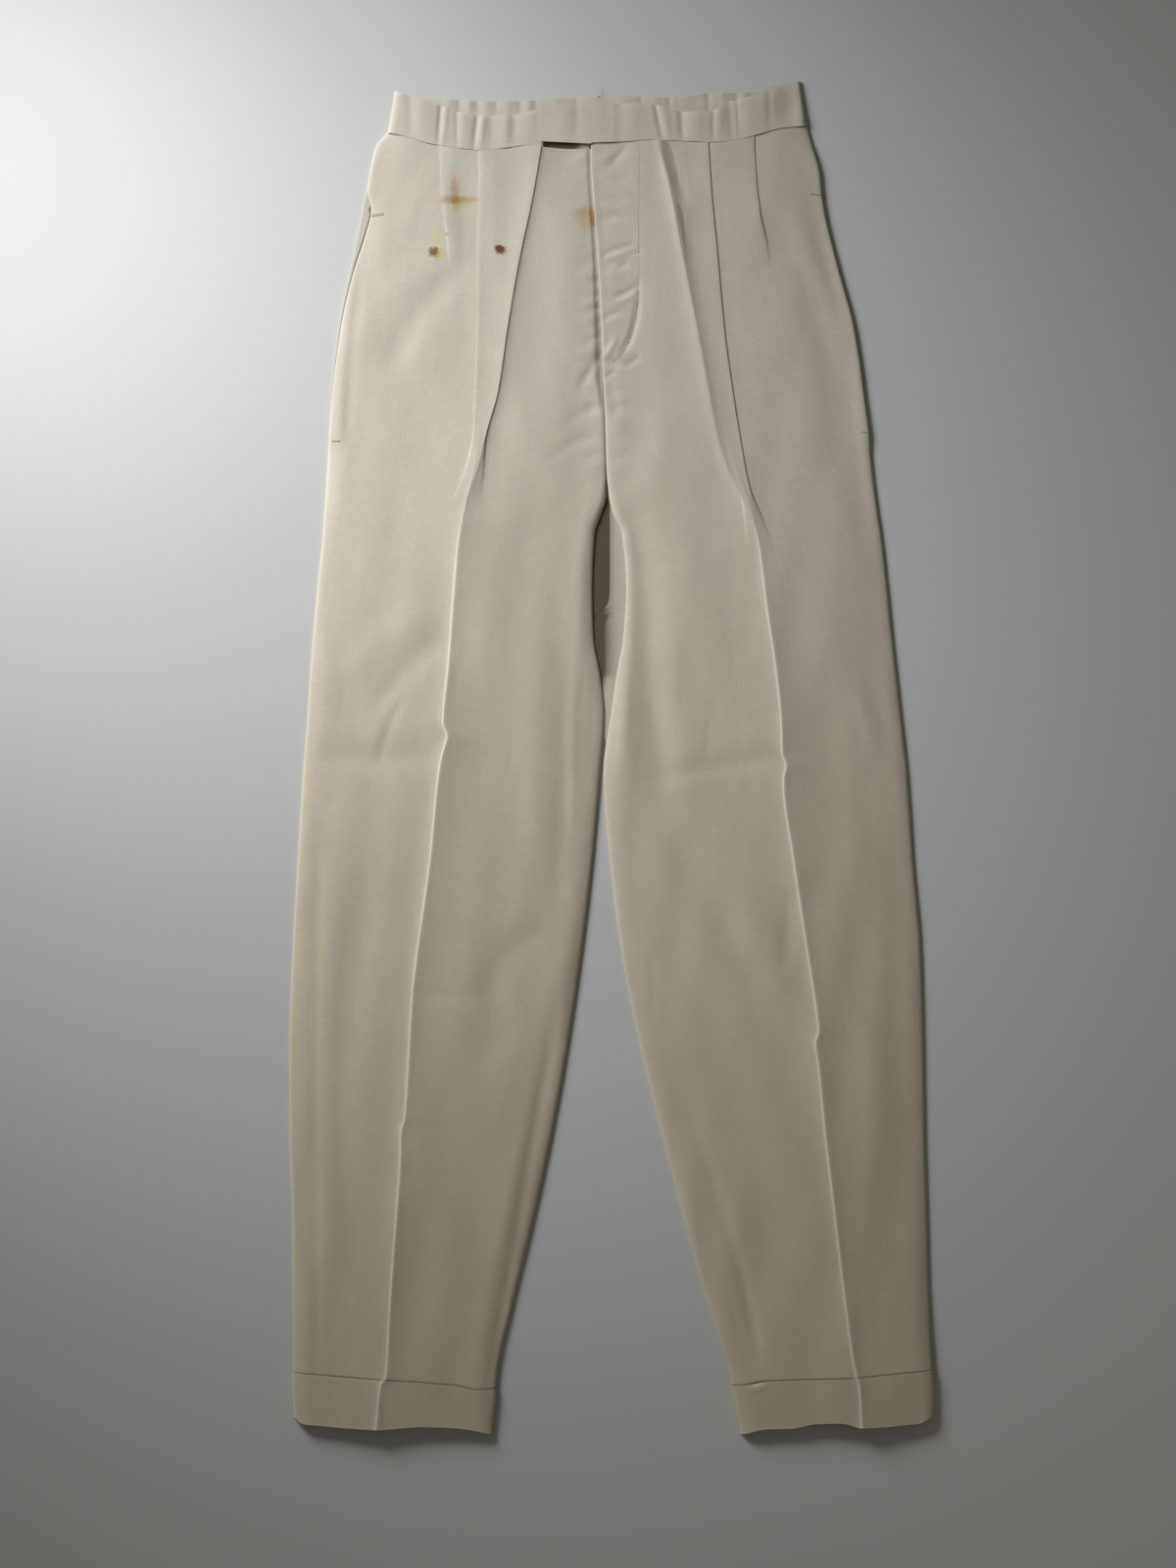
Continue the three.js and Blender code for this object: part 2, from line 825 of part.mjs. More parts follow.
function backPanel(leg) {
  const back = { ...leg, waist: leg.backWaist };
  const edges = (row) => [edgeAt(back, row, back.outline, "side"), backInner(back, row)];
  const bottom = (row) => read(HEM_LIFT, "lift", row[0]);
  return flatWall(back, BACK_ROWS.rows, edges, bottom, BACK_COLUMNS);
}

// The back of the turn-up lies under the back panel, out to the front turn-up's edges.
function backTurnup(leg) {
  const edges = (row) => [
    edgeAt(leg, row, leg.outline, "side") + leg.hand * LAYER,
    edgeAt(leg, row, leg.outline, "inner") - leg.hand * LAYER,
  ];
  return flatWall(leg, CUFF_ROWS.rows, edges, () => 0, BACK_COLUMNS);
}

function pocketFacing(leg) {
  const edges = (row) => {
    const side = edgeAt(leg, row, leg.outline, "side");
    return [side, side - leg.hand * FACING_WIDTH];
  };
  return flatWall(leg, POCKET_ROWS.rows, edges, () => LAYER, FACING_COLUMNS);
}

// Height of the gathers at x, at a share of the band's height.
function gatherHeight(gathers, x, share) {
  let height = 0;
  for (const [foot, head, width, rise] of gathers.rows) {
    const centre = foot + share * (head - foot);
    height += rise * Math.exp(-(((x - centre) / width) ** 2));
  }
  return height;
}

// One stretch of the waistband, from its left to its right end. foot and head give its lower and
// upper edge at x, and height its outer face; an end that is a side seam is rolled.
function bandWall(ends, foot, head, height) {
  const width = ends.right.foot - ends.left.foot;
  const steps = Math.round(width / BAND_STEP);
  const grid = (out) =>
    BAND_SHARES.map((share) => {
      const left = ends.left.foot + share * (ends.left.head - ends.left.foot);
      const right = ends.right.foot + share * (ends.right.head - ends.right.foot);
      const points = [];
      for (let step = 0; step <= steps; step += 1) {
        const x = left + (step / steps) * (right - left);
        const y = foot(x) + share * (head(x) - foot(x));
        points.push(new THREE.Vector3(x, y, height(x, share, left, right) + out));
      }
      return points;
    });
  return wall(grid(0), grid(-CLOTH), true);
}

// From the height of the band's face down to the back band's layer, at a side seam.
function sideFall(top, distance) {
  const share = Math.min(1, Math.max(0, distance / ROLL));
  const low = LAYER + CLOTH;
  return low + (top - low) * Math.sqrt(1 - (1 - share) ** 2);
}

// The line that the foot of a front band follows, one gap over the front panel's upper edge.
function seamLine(leg) {
  const row = FRONT_ROWS.rows[0];
  const points = frontSection(leg, row).map((point) => offPoint(leg, row, point, 0));
  points.sort((a, b) => a.x - b.x);
  return table("x y", ...points.map((point) => [point.x, point.y + GAP]));
}

function edgeDrop(share) {
  return BAND_EDGE_DROP * smooth((share - BAND_EDGE_START) / (1 - BAND_EDGE_START));
}

function rightBand() {
  const seam = seamLine(RIGHT);
  const foot = (x) => read(seam, "y", x);
  const head = (x) => read(RIGHT_BAND.top, "y", x);
  const height = (x, share, left) => {
    const stepped = smooth((TAB_END.foot - GAP - x) / TAB_STEP);
    const free = BAND_TOP - edgeDrop(share) + gatherHeight(RIGHT_BAND.gathers, x, share);
    return sideFall(UNDER_TAB_TOP + stepped * (free - UNDER_TAB_TOP), x - left);
  };
  const ends = { left: RIGHT_SIDE, right: { foot: UNDER_TAB_END, head: UNDER_TAB_END } };
  return bandWall(ends, foot, head, height);
}

function leftBand() {
  const seam = seamLine(LEFT);
  const fly = seam.rows[0][0];
  const foot = (x) => (x < fly ? read(TAB_FOOT, "y", x) : read(seam, "y", x));
  const head = (x) => read(LEFT_BAND.top, "y", x);
  const height = (x, share, left, right) => {
    const tab = 1 - smooth(x / TAB_STEP);
    const face = BAND_TOP + tab * (TAB_TOP - BAND_TOP) - edgeDrop(share) * (1 - tab);
    return sideFall(face + gatherHeight(LEFT_BAND.gathers, x, share), right - x);
  };
  return bandWall({ left: TAB_END, right: LEFT_SIDE }, foot, head, height);
}

function backBand() {
  const middle = (RIGHT.back.rows[0][1] + LEFT.back.rows[0][1]) / 2;
  const foot = (x) => read((x < middle ? RIGHT : LEFT).backWaist, "y", x) + BAND_SEAM;
  const head = (x) => read(BACK_BAND.top, "y", x);
  const height = (x, share) => {
    let ripple = 0;
    for (const [centre, width, rise] of BACK_BAND.ripples.rows) {
      ripple += rise * Math.exp(-(((x - centre) / width) ** 2));
    }
    return CLOTH + ripple * share * share;
  };
  return bandWall({ left: RIGHT_SIDE, right: LEFT_SIDE }, foot, head, height);
}

const cloth = new THREE.MeshStandardMaterial({
  color: CLOTH_COLOUR,
  roughness: 0.92,
  metalness: 0,
});
const facingCloth = new THREE.MeshStandardMaterial({
  color: FACING_COLOUR,
  roughness: 0.95,
  metalness: 0,
});

const trousers = new THREE.Group();

function addPiece(name, geometry, material) {
  const mesh = new THREE.Mesh(geometry, material);
  mesh.name = name;
  trousers.add(mesh);
}

for (const leg of [RIGHT, LEFT]) {
  addPiece("back_" + leg.name, backPanel(leg), cloth);
  addPiece("front_" + leg.name, frontPanel(leg), cloth);
  addPiece("turnup_front_" + leg.name, frontTurnup(leg), cloth);
  addPiece("turnup_back_" + leg.name, backTurnup(leg), cloth);
  addPiece("pocket_facing_" + leg.name, pocketFacing(leg), facingCloth);
}
addPiece("waistband_back", backBand(), cloth);
addPiece("waistband_front_right", rightBand(), cloth);
addPiece("waistband_front_left", leftBand(), cloth);

export default trousers;
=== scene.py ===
"""Pleated trousers of slubby linen and cotton, laid flat with the front up.

Sizes are in millimetres until a mesh is made. +X is the wearer's left, +Y the waist and +Z up
from the surface that the trousers lie on, as in the CAD model. Each piece of cloth is a thin
closed shell on the form of the CAD node that it replaces, with the finer folds, wrinkles and
stitches laid over that form.
"""
import math

import bpy
import numpy as np
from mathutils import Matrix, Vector
from mathutils.bvhtree import BVHTree


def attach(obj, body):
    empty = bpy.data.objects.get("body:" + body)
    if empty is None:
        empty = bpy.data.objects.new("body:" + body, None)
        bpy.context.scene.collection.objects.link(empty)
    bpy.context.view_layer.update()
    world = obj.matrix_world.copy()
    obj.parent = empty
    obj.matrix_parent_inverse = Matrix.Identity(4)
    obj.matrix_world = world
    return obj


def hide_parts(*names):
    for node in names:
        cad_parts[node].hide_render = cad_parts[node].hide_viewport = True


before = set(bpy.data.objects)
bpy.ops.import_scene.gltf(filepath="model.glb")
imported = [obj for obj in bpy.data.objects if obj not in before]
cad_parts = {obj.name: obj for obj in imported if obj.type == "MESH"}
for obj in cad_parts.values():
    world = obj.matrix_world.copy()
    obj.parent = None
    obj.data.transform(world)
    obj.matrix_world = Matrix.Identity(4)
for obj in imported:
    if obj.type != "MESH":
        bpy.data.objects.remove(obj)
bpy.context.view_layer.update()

MM = 0.001

# Driving sizes. The faces lie as in the CAD model, but the wall and the gaps are thinner.
CLOTH = 0.2  # the shells' wall
GAP = 0.08  # between the layers of a fold
LAYER = 1.3  # from one panel to the next
FRONT_TOP = 4.4  # outer face of the fronts over the surface
ROLL = 7  # width in which a front rolls down to an inner seam
TURNUP_OFF = 0.8  # of the turn-ups off the fronts
ROLL_STEPS = 9
TURN_STEPS = 5  # facets of each half turn in a fold
FOLD_COLUMNS = 2 * (TURN_STEPS + 1)
LEAST_DEPTH = 0.4  # of a fold that has run out
OPEN_SPREAD = 9  # half the width that a fold's columns take once it lies open
OPEN_SHIFT = 11  # how far such columns stand off the crease
ROLL_ROOM = 5  # least width left flat between a side's roll and the dart's columns
COLUMN_GAP = 1  # least distance from one fold's columns to the next fold's
EDGE_FADE = 12  # folds die out this near to an edge
FACING_WIDTH = 18
FLY_REST = 1.2  # the right front is down at its lowest this far outside the fly's edge
FLAP_TOP = 4.6  # outer face of the fly
FLAP_ROUND = 0.7  # radius of the fly's folded edge
BACK_TOP = 1.0
BAND_TOP = 5.2
TAB_TOP = 5.9
WAIST = 494.5
CUFF = -503
HEM = -542

# Steps of the meshes
SIDE_STEPS = 18  # columns between the side seam and the dart
MIDDLE_STEPS = 7
TOP_STEPS = 10  # columns on top of the box pleat
INNER_STEPS = 42  # columns between the crease and the inner seam
BACK_COLUMNS = 40
FACING_COLUMNS = 30
FACING_SECTIONS = 40
SEAM_POINTS = 60
CUFF_SECTIONS = 14
BAND_STEP = 1.1
BAND_SECTIONS = 14
SHARP_ANGLE = 55  # between faces, from which their edge is drawn sharp


def table(names, *rows):
    """Columns by name. The first one is the key, and is put in rising order."""
    return dict(zip(names.split(), np.array(sorted(rows), dtype=float).T))


def read(source, name, key):
    """A column at key, on a smooth curve that never swings past the table's own values."""
    keys = next(iter(source.values()))
    values = source[name]
    rises = np.diff(values) / np.diff(keys)
    before, after = rises[:-1], rises[1:]
    alike = before * after > 0
    middle = np.where(alike, 2 * before * after / np.where(alike, before + after, 1), 0)
    slopes = np.concatenate([rises[:1], middle, rises[-1:]])
    key = np.clip(key, keys[0], keys[-1])
    low = np.clip(np.searchsorted(keys, key, side="right") - 1, 0, len(keys) - 2)
    span = keys[low + 1] - keys[low]
    share = (key - keys[low]) / span
    rest = 1 - share
    return (
        values[low] * rest * rest * (1 + 2 * share)
        + values[low + 1] * share * share * (1 + 2 * rest)
        + span * share * rest * (slopes[low] * rest - slopes[low + 1] * share)
    )


def smooth(value):
    share = np.clip(value, 0, 1)
    return share * share * (3 - 2 * share)


# Share of the waist seam's and the turn-up's curve that a section at this height follows.
WAIST_SHARE = table("y share", [420, 0], [446, 0.3], [468, 0.7], [484, 1])
CUFF_SHARE = table("y share", [-370, 0], [-442, 0.3], [-486, 1])
HEM_START = -501.5  # from here down, the sections take on the hem's curve
HEM_DEPTH = 38  # height in which they do
# How far the cloth is lifted by the turn-up's layer under it
HEM_LIFT = table("y lift", [-430, 0], [-465, 0.5], [-501.5, LAYER])
# The fronts' sections: from each height down, the spacing of the sections.
FRONT_SPACING = [(494.35, 2), (296, 2.6), (180, 3.6), (50, 2.6), (-30, 4), (-205, 2.8), (-240, 4),
                 (-280, 2.8), (-325, 4.2), (-485, 2.2), (-499, 0.7), (-504, 3)]
FRONT_END = -539.5
BACK_SPACING = [(494.35, 5), (240, 2.5), (60, 6), (-485, 3)]

# The legs. hand is the sign of X on that side. The outlines, folds, waists and cuffs follow the
# CAD model's, some of them moved by a few millimetres to where the photo has them.
RIGHT = dict(
    name="right",
    hand=-1,
    side_roll=22,  # width in which the front rolls down to the side seam
    outline=table(
        "y side inner",
        [505, -182, -13.5], [494.5, -190.5, -13.5], [455, -198.5, -11], [407, -208, -8.5],
        [351.5, -219.5, -7.5], [296, -226, -5.8], [232, -230, -4.3], [208.5, -231.5, -5],
        [197, -232.5, -8.5], [181, -233.5, -13.5], [137, -238, -15.5], [97, -241.5, -14.5],
        [66, -244, -9], [34, -246, -6], [-12, -249.5, -9.5], [-85, -254, -16], [-156, -258, -24.5],
        [-228, -260.5, -35], [-299, -260.5, -47.5], [-370, -258.5, -62.5], [-442, -258, -80],
        [-497, -258, -92.5], [-521, -257, -94.5], [-545, -255, -97],
    ),
    back=table(
        "y inner",
        [502, -5.8], [232, -5.8], [201, -1.8], [137.5, -1.8], [126, -3], [112, -14.5], [101.5, -16.5],
        [66, -16], [42, -11], [13.5, -6.5],
    ),
    folds=table(
        "y dart box crease",
        [494.5, -139, -107.5, -56.5], [462, -138, -107.5, -62], [439, -136, -108, -66.5],
        [415, -132.5, -108.5, -71.8], [391, -130.5, -108.5, -76.5], [343, -134, -109, -84.5],
        [296, -142, -110.5, -91.5], [264, -150, -111.5, -100.5], [232, -154, -113.5, -108.5],
        [201, -158, -118.5, -118.5], [169, -162, -124, -124], [121, -166, -128, -128],
        [74, -170, -131.5, -131.5], [27, -174, -135.7, -135.7], [17.5, -174.5, -132.5, -132.5],
        [2, -176, -136.5, -136.5], [-12, -177, -139, -139], [-85, -186, -146.5, -146.5],
        [-156, -194, -156.3, -156.3], [-192, -197, -160.5, -160.5], [-279, -204, -165.6, -165.6],
        [-291, -205, -166.5, -166.5], [-302.5, -206, -169.8, -169.8], [-323, -207, -170.2, -170.2],
        [-370, -210, -173.5, -173.5], [-442, -214, -178.6, -178.6], [-500, -216, -182, -182],
        [-506, -216, -186, -186], [-545, -217, -190.2, -190.2],
    ),
    pleats=table(
        "y depth angle",
        [505, 11, 180], [391, 9, 180], [343, 7, 180], [308, 5, 180], [278, 2.5, 180], [262, 1, 175],
        [247, LEAST_DEPTH, 140], [232, LEAST_DEPTH, 95], [216, LEAST_DEPTH, 45], [201, LEAST_DEPTH, 0],
    ),
    dart=table(
        "y depth angle",
        [494.5, 8, 180], [468, 5, 180], [446, 2, 180], [420, LEAST_DEPTH, 110], [394, LEAST_DEPTH, 0],
    ),
    mouth=table("y inset", [453, 0], [445, 5], [438, 7], [420, 5.5], [394, 2.5], [338, 1], [262, 0]),
    # How dark the painted shade in the pocket's mouth is, by height
    slit=table("y dark", [450, 0], [444, 1], [405, 1], [385, 0.6], [300, 0.4], [262, 0]),
    # Painted shade: where the back is coloured darker, in the window under the crotch that lies in
    # shadow
    windows=[dict(dark=1, foot=96, head=215, middle=-8, reach=22, fade=8)],
    # Bar tacks at the pocket's ends: the middle, the length, the height and the lean in degrees
    tacks=[(-190, 439, 11, 3, 8), (-223, 256, 6, 2.4, 0)],
    # The pressed crease: the height of the two slopes that meet in it, and of its sharp edge with
    # its width towards the side and towards the inner seam.
    press=table(
        "y tent edge side inner",
        [420, 0, 0, 6, 6], [300, 0.6, 0, 6, 8], [232, 2.2, 0.9, 6, 12], [180, 3.6, 1.8, 5, 13],
        [40, 4.2, 1.9, 4.5, 11], [-120, 4.3, 1.7, 4.5, 9], [-300, 4.2, 1.5, 4.5, 7],
        [-545, 3.4, 1.3, 4, 6],
    ),
    # How far each folded edge stands up, with its fall-off into the fold and outside it.
    puffs=dict(
        crease=table(
            "y lift inside outside",
            [494, 1.1, 6, 4.5], [440, 1.6, 8, 5], [330, 1.7, 9, 5], [240, 1.1, 9, 5], [200, 0, 6, 5],
        ),
        box=table(
            "y lift inside outside",
            [494, 0, 4, 3], [440, 0.3, 5, 3], [300, 0.4, 5, 3], [225, 0, 5, 3],
        ),
        dart=table("y lift inside outside", [494, 0, 4, 3], [455, 0.1, 4, 3], [400, 0, 5, 3]),
    ),
    # Soft troughs and ridges of the cloth, from one end to the other, bowed sideways
    drapes=[
        # x and y of one end, x and y of the other, bow, half width, height
        (-128, 390, -178, 318, 4, 11, -1.2), (-172, 448, -174, 388, 2, 9, -0.5),
        (-152, 400, -206, 330, 4, 11, 0.4), (-212, 385, -221, 262, 1, 3, 0.7),
        (-204, 385, -213, 262, 1, 3.5, -0.65), (-136.5, 96, -186, 41, 5, 11, -1.1),
        (-150, 118, -212, 66, 5, 12, 0.7), (-169, 46, -187, 0, 2, 4, -0.4),
        (-176, 48, -196, 0, 2, 6, 0.3), (-233, 0, -143, 1, 1.5, 10, -0.6),
        (-228, 20, -146, 20, 1, 10, 0.25), (-81, 18, -81, -11, 0, 3, -0.22),
        (-56, 96, -58, -70, 4, 14, 1.1), (-40, 60, -44, -120, -2, 6, -0.45),
        (-28, 84, -30, -60, 2, 4, 0.35), (-57, -141, -99, -185, 6, 13, -0.9),
        (-99, -180, -93, -240, -3, 12, -0.7), (-156, -190, -94, -195, 0, 4, -0.3),
        (-46, -215, -94, -500, 2, 6, -1), (-60, -260, -110, -500, 2, 9, 0.6),
        (-236, -70, -240, -300, 1, 4, -0.6), (-240, -290, -238, -500, 0, 4, -0.6),
        (-224, -60, -228, -420, 2, 9, 0.6), (-196, -100, -214, -260, 4, 14, -0.7),
        (-120, 250, -60, 60, 8, 22, 0.6), (-80, 290, -34, 210, 5, 14, 0.7),
        (-14, 262, -50, 240, 2, 4, -0.35), (-10, 283, -38, 268, 2, 4, -0.3),
        (-40, 470, -46, 330, 3, 16, 0.5), (-152, 470, -166, 420, 2, 10, 0.5),
        (-120, 480, -118, 330, 1, 5, -0.25), (-96, 470, -92, 380, 2, 6, 0.3),
    ],
    # Narrow wrinkles: the half width, the height and the points that each runs through
    wrinkles=[
        (1.6, -0.3, [(-12, 425), (-17, 423), (-23, 426)]),
        (1.6, -0.45, [(-9, 409), (-14, 407), (-19, 408)]),
        (1.6, -0.3, [(-8, 399), (-13, 396), (-17, 396)]),
        (1.8, -0.5, [(-7, 388), (-13, 385), (-19, 386)]),
        (1.8, -0.4, [(-6, 376), (-12, 373), (-16, 372)]),
        (1.8, -0.6, [(-6, 368), (-12, 363), (-20, 363)]),
        (1.8, -0.4, [(-5, 355), (-11, 352), (-16, 353)]),
        (2.2, -0.5, [(-5, 344), (-11, 340), (-21, 337)]),
        (3.4, -0.75, [(-9, 326), (-15, 316), (-22, 306), (-26, 296)]),
    ],
    waist=table(
        "x y",
        [-180, 505], [-163.5, 501.5], [-150, 497], [-125.5, 493], [-105, 491], [-84, 493],
        [-67.5, 495], [-54, 493.5], [-32.5, 492], [-9.5, 492],
    ),
    back_waist=table("x y", [-182, 505], [-5.8, 494]),
    cuff_top=table(
        "x y",
        [-258, -497.5], [-190.5, -502.5], [-152.5, -505], [-127, -507.5], [-108, -511], [-92, -510.5],
    ),
    cuff_bottom=table(
        "x y",
        [-256, -533.5], [-251, -538], [-238.5, -539.5], [-189, -542.5], [-152.5, -540.5],
        [-127, -541.5], [-113, -543.5], [-97, -547],
    ),
)
LEFT = dict(
    name="left",
    hand=1,
    side_roll=30,
    outline=table(
        "y side inner",
        [511, 158, -16.8], [494.5, 162.5, -16.7], [472, 168.5, -16.2], [455, 171.2, -14.9],
        [438, 174, -13.7], [407, 181.5, -11.2], [381, 188.5, -9.7], [351.5, 196.5, -8.2],
        [296, 205, -6], [232, 211, -4], [208.5, 214, -1.5], [197, 215.5, 1.5], [181, 218, 8.5],
        [137, 223, 12], [97, 227, 9.5], [66, 230.5, 4], [34, 234, -0.5], [-12, 239, -6.5],
        [-85, 244, -1], [-156, 250, 8], [-228, 252, 22], [-299, 253, 39.5], [-370, 255, 57.5],
        [-442, 257, 78], [-497, 259.5, 95], [-521, 260.5, 100], [-545, 258.5, 105],
    ),
    back=table(
        "y inner",
        [502, -5.5], [232, -5.5], [201, -1.5], [137.5, -1.5], [126, -2.6], [112, -14.1],
        [101.5, -16.1], [66, -15.6], [42, -10.6], [13.5, -6.1],
    ),
    folds=table(
        "y dart box crease",
        [494.5, 115.5, 78.5, 38], [462, 117.5, 80.5, 46.5], [439, 120.5, 82.5, 51],
        [415, 126, 85, 55.5], [391, 128, 87, 60], [343, 132, 91.5, 69.5], [296, 136, 98, 78],
        [264, 138, 103, 84], [232, 141, 108.5, 93.5], [201, 146, 115, 109.5], [169, 152, 119.5, 119.5],
        [121, 158, 125.5, 125.5], [74, 165, 132.5, 132.5], [30, 172, 137, 137],
        [2.4, 174, 138.1, 138.1], [-6.3, 175, 140.9, 140.9], [-17.5, 176, 138.9, 138.9],
        [-85, 184, 147.5, 147.5], [-156, 193, 158.2, 158.2], [-210, 197, 166.3, 166.3],
        [-221, 198, 167.4, 167.4], [-231, 198, 164.5, 164.5], [-243, 199, 166.5, 166.5],
        [-301, 204, 172.4, 172.4], [-370, 212, 180.5, 180.5], [-442, 220, 189.2, 189.2],
        [-500, 226, 197.8, 197.8], [-506, 226, 199.9, 199.9], [-545, 229, 202.4, 202.4],
    ),
    pleats=table(
        "y depth angle",
        [505, 11, 180], [391, 8, 180], [343, 6.5, 180], [308, 5.5, 180], [262, 4.5, 180],
        [247, 4, 180], [232, 2.5, 180], [216, 1, 175], [201, LEAST_DEPTH, 120], [181, LEAST_DEPTH, 50],
        [160, LEAST_DEPTH, 0],
    ),
    dart=table(
        "y depth angle",
        [502, 8, 180], [468, 5.5, 180], [446, 2.5, 180], [420, LEAST_DEPTH, 110],
        [394, LEAST_DEPTH, 0],
    ),
    mouth=table("y inset", [462, 0], [450, 1.2], [300, 1.2], [262, 0]),
    # How dark the painted shade in the pocket's mouth is, by height
    slit=table("y dark", [462, 0], [450, 0.3], [300, 0.3], [262, 0]),
    puffs=dict(
        crease=table(
            "y lift inside outside",
            [496, 1.2, 4, 3], [470, 2.5, 5, 4], [400, 2.4, 6, 5], [250, 1.9, 8, 6], [170, 0, 12, 6],
        ),
        box=table(
            "y lift inside outside",
            [496, 0.2, 4, 3], [440, 0.5, 5, 4], [260, 0.5, 6, 4], [190, 0, 6, 3],
        ),
        dart=table("y lift inside outside", [500, 0.2, 4, 3], [455, 0.4, 5, 4], [400, 0, 5, 3]),
    ),
    # Painted shade on the back, in the window under the crotch
    windows=[
        dict(dark=0.5, foot=60, head=215, middle=-4, reach=12, fade=10),
        dict(dark=1, foot=50, head=124, middle=-17, reach=15, fade=8),
    ],
    tacks=[(165, 455.6, 10, 2.6, -4), (205, 263.5, 6, 2.4, 0)],
    press=table(
        "y tent edge side inner",
        [420, 0, 0, 8, 6], [300, 0.6, 0, 8, 6], [216, 1.8, 0.8, 12, 6], [160, 3.2, 1.8, 13, 6],
        [40, 3.9, 2, 13, 6], [-300, 4, 1.7, 12, 5.5], [-545, 3.2, 1.3, 8, 5],
    ),
    drapes=[
        # x and y of one end, x and y of the other, bow, half width, height
        (134, 430, 180, 302, -6, 13, -1.2), (150, 424, 194, 310, -5, 8, 0.6),
        (24, 200, 46, -40, 5, 13, -2.2), (6, 150, 14, -30, 2, 8, 0.9), (40, -17, 141, 1, -1, 7, -0.55),
        (44, 2, 138, 20, -1, 10, 0.25), (82.5, 42, 74.5, -5, 0, 5, -0.35),
        (106, 67, 110, 40, 0, 9, -0.35), (209.5, 57, 226, 11, 0, 5, -0.45),
        (219, 67, 234, 28, 0, 5, 0.35), (200, 48, 214, 4, 0, 5, 0.4),
        (53, -81, 117, -195, -8, 12, -1.2), (74, -84, 138, -180, -8, 13, 0.8),
        (144, -112, 140, -170, 0, 7, -0.7), (200, -110, 212, -245, 0, 13, -0.9),
        (98, 210, 94, 50, 0, 12, -0.8), (195, -70, 208, -380, -8, 12, 0.7),
        (228, -60, 236, -420, 0, 11, -0.7), (33, -160, 34, -200, 0, 3, -0.35),
        (93, -380, 118, -484, -3, 5, -0.8), (62, -290, 94, -384, -2, 6, -0.7),
        (40, 290, 22, 205, -5, 15, 0.8), (52, 250, 60, 70, 6, 20, 0.7),
        (10, 266, 34, 246, -2, 4, -0.35), (12, 286, 30, 272, -2, 3.5, -0.3),
        (45, 492, 60, 450, 0, 3, -0.9), (66, 430, 84, 300, 2, 8, -0.5),
        (190, 470, 204, 200, 8, 24, -1.9), (206, 200, 226, -60, 2, 18, -0.8),
        (98, 470, 110, 330, 2, 9, 0.4), (24, 470, 34, 340, 2, 14, 0.5),
    ],
    # Two over the turn-up, the fly's own, and the curved groove where its stitches end
    wrinkles=[
        (1.3, -0.75, [(111, -507), (126, -504.8)]), (1.3, 0.75, [(112, -509.5), (125, -507.4)]),
        (3, -0.75, [(14, 494), (6, 487), (-2, 479)]), (2, -0.45, [(2, 470), (9, 466), (16, 468)]),
        (2, -0.45, [(-6, 452), (3, 449), (12, 452)]), (2.2, -0.52, [(-4, 436), (6, 438), (15, 433)]),
        (1.8, -0.83, [(-9, 405), (0, 409), (9, 412.5), (19.5, 415)]),
        (1.6, 0.45, [(-6, 401), (2, 405), (12, 408)]), (1.6, -0.68, [(15.5, 407.6), (24.4, 408.4)]),
        (2.6, -0.6, [(3, 395), (9, 397), (14, 401)]),
        (1.8, -0.83, [(1, 371), (5, 373), (14, 377), (22, 382.5)]),
        (1.6, 0.52, [(4, 367), (13, 371), (21, 376)]),
        (1.7, -0.68, [(-7.4, 355.4), (0, 357.5), (7.4, 360.6)]),
        (1.8, -0.6, [(21.9, 390), (21.9, 376), (21.6, 362)]),
        (2.2, -1.27, [(21.9, 370), (20.3, 358), (18.7, 350), (15.5, 339), (7.4, 325)]),
        (2, 0.9, [(4, 340), (1, 333), (-5.6, 323)]),
        (1.8, -0.9, [(-7, 321.5), (3.3, 318.6), (9, 315.3)]),
        (1.8, -0.75, [(9, 315.3), (15.5, 318.6), (23, 324)]),
        (1.7, -0.68, [(-6.6, 306), (-1, 310), (5, 314)]), (4, -0.52, [(-3, 300), (3, 290), (4, 276)]),
    ],
    waist=table(
        "x y",
        [-14.5, 497], [12.5, 498], [31.5, 499.5], [57, 498.5], [82, 497.5], [101, 499.5], [114, 502.5],
        [139, 509], [158, 511],
    ),
    back_waist=table("x y", [-5.5, 494], [158, 511]),
    cuff_top=table(
        "x y",
        [96, -508], [110.5, -507], [127, -504], [192.5, -501.5], [227.5, -498.5], [261, -495.5],
    ),
    cuff_bottom=table(
        "x y",
        [106, -547], [125.5, -542.5], [145, -542], [166.5, -538], [186.5, -537.5], [201.5, -541],
        [248.5, -538], [260.5, -531.5],
    ),
)
# How far the right front runs on under the fly
FLY_UNDERLAP = table("y reach", [505, 12], [366, 12], [338, 7], [308, -GAP])
# The right front beside the fly: the width of its slope, and its height at the fly's edge.
FLY_STEP = table("y width top", [494, 2.5, 3.95], [440, 3, 3.7], [400, 4.5, 3.1], [308, 7, 2.2])
# Where the lapped fly changes into the rolled inner edge
INNER_ROLL = table("y share", [308, 0], [278, 1])
# The inner edges' rolled form: shallow along the centre seam, deeper down the leg.
INNER_EDGE = table("y low width", [308, 3, 4], [225, 3, 4.5], [196, LAYER, 7], [130, LAYER, 15])
# Where the front's side lies on a pocket facing
POCKET_SHARE = table("y share", [484, 0], [468, 1], [262, 1], [247, 0])
FACING_TOP = 464
FACING_END = 266
# The painted shade in a pocket's mouth, where the gap beside the front's edge lies in shadow
MOUTH_SHADE_OFF = 0.4  # of the dark line in a pocket's mouth from the front's edge
MOUTH_SHADE_WIDTH = 1

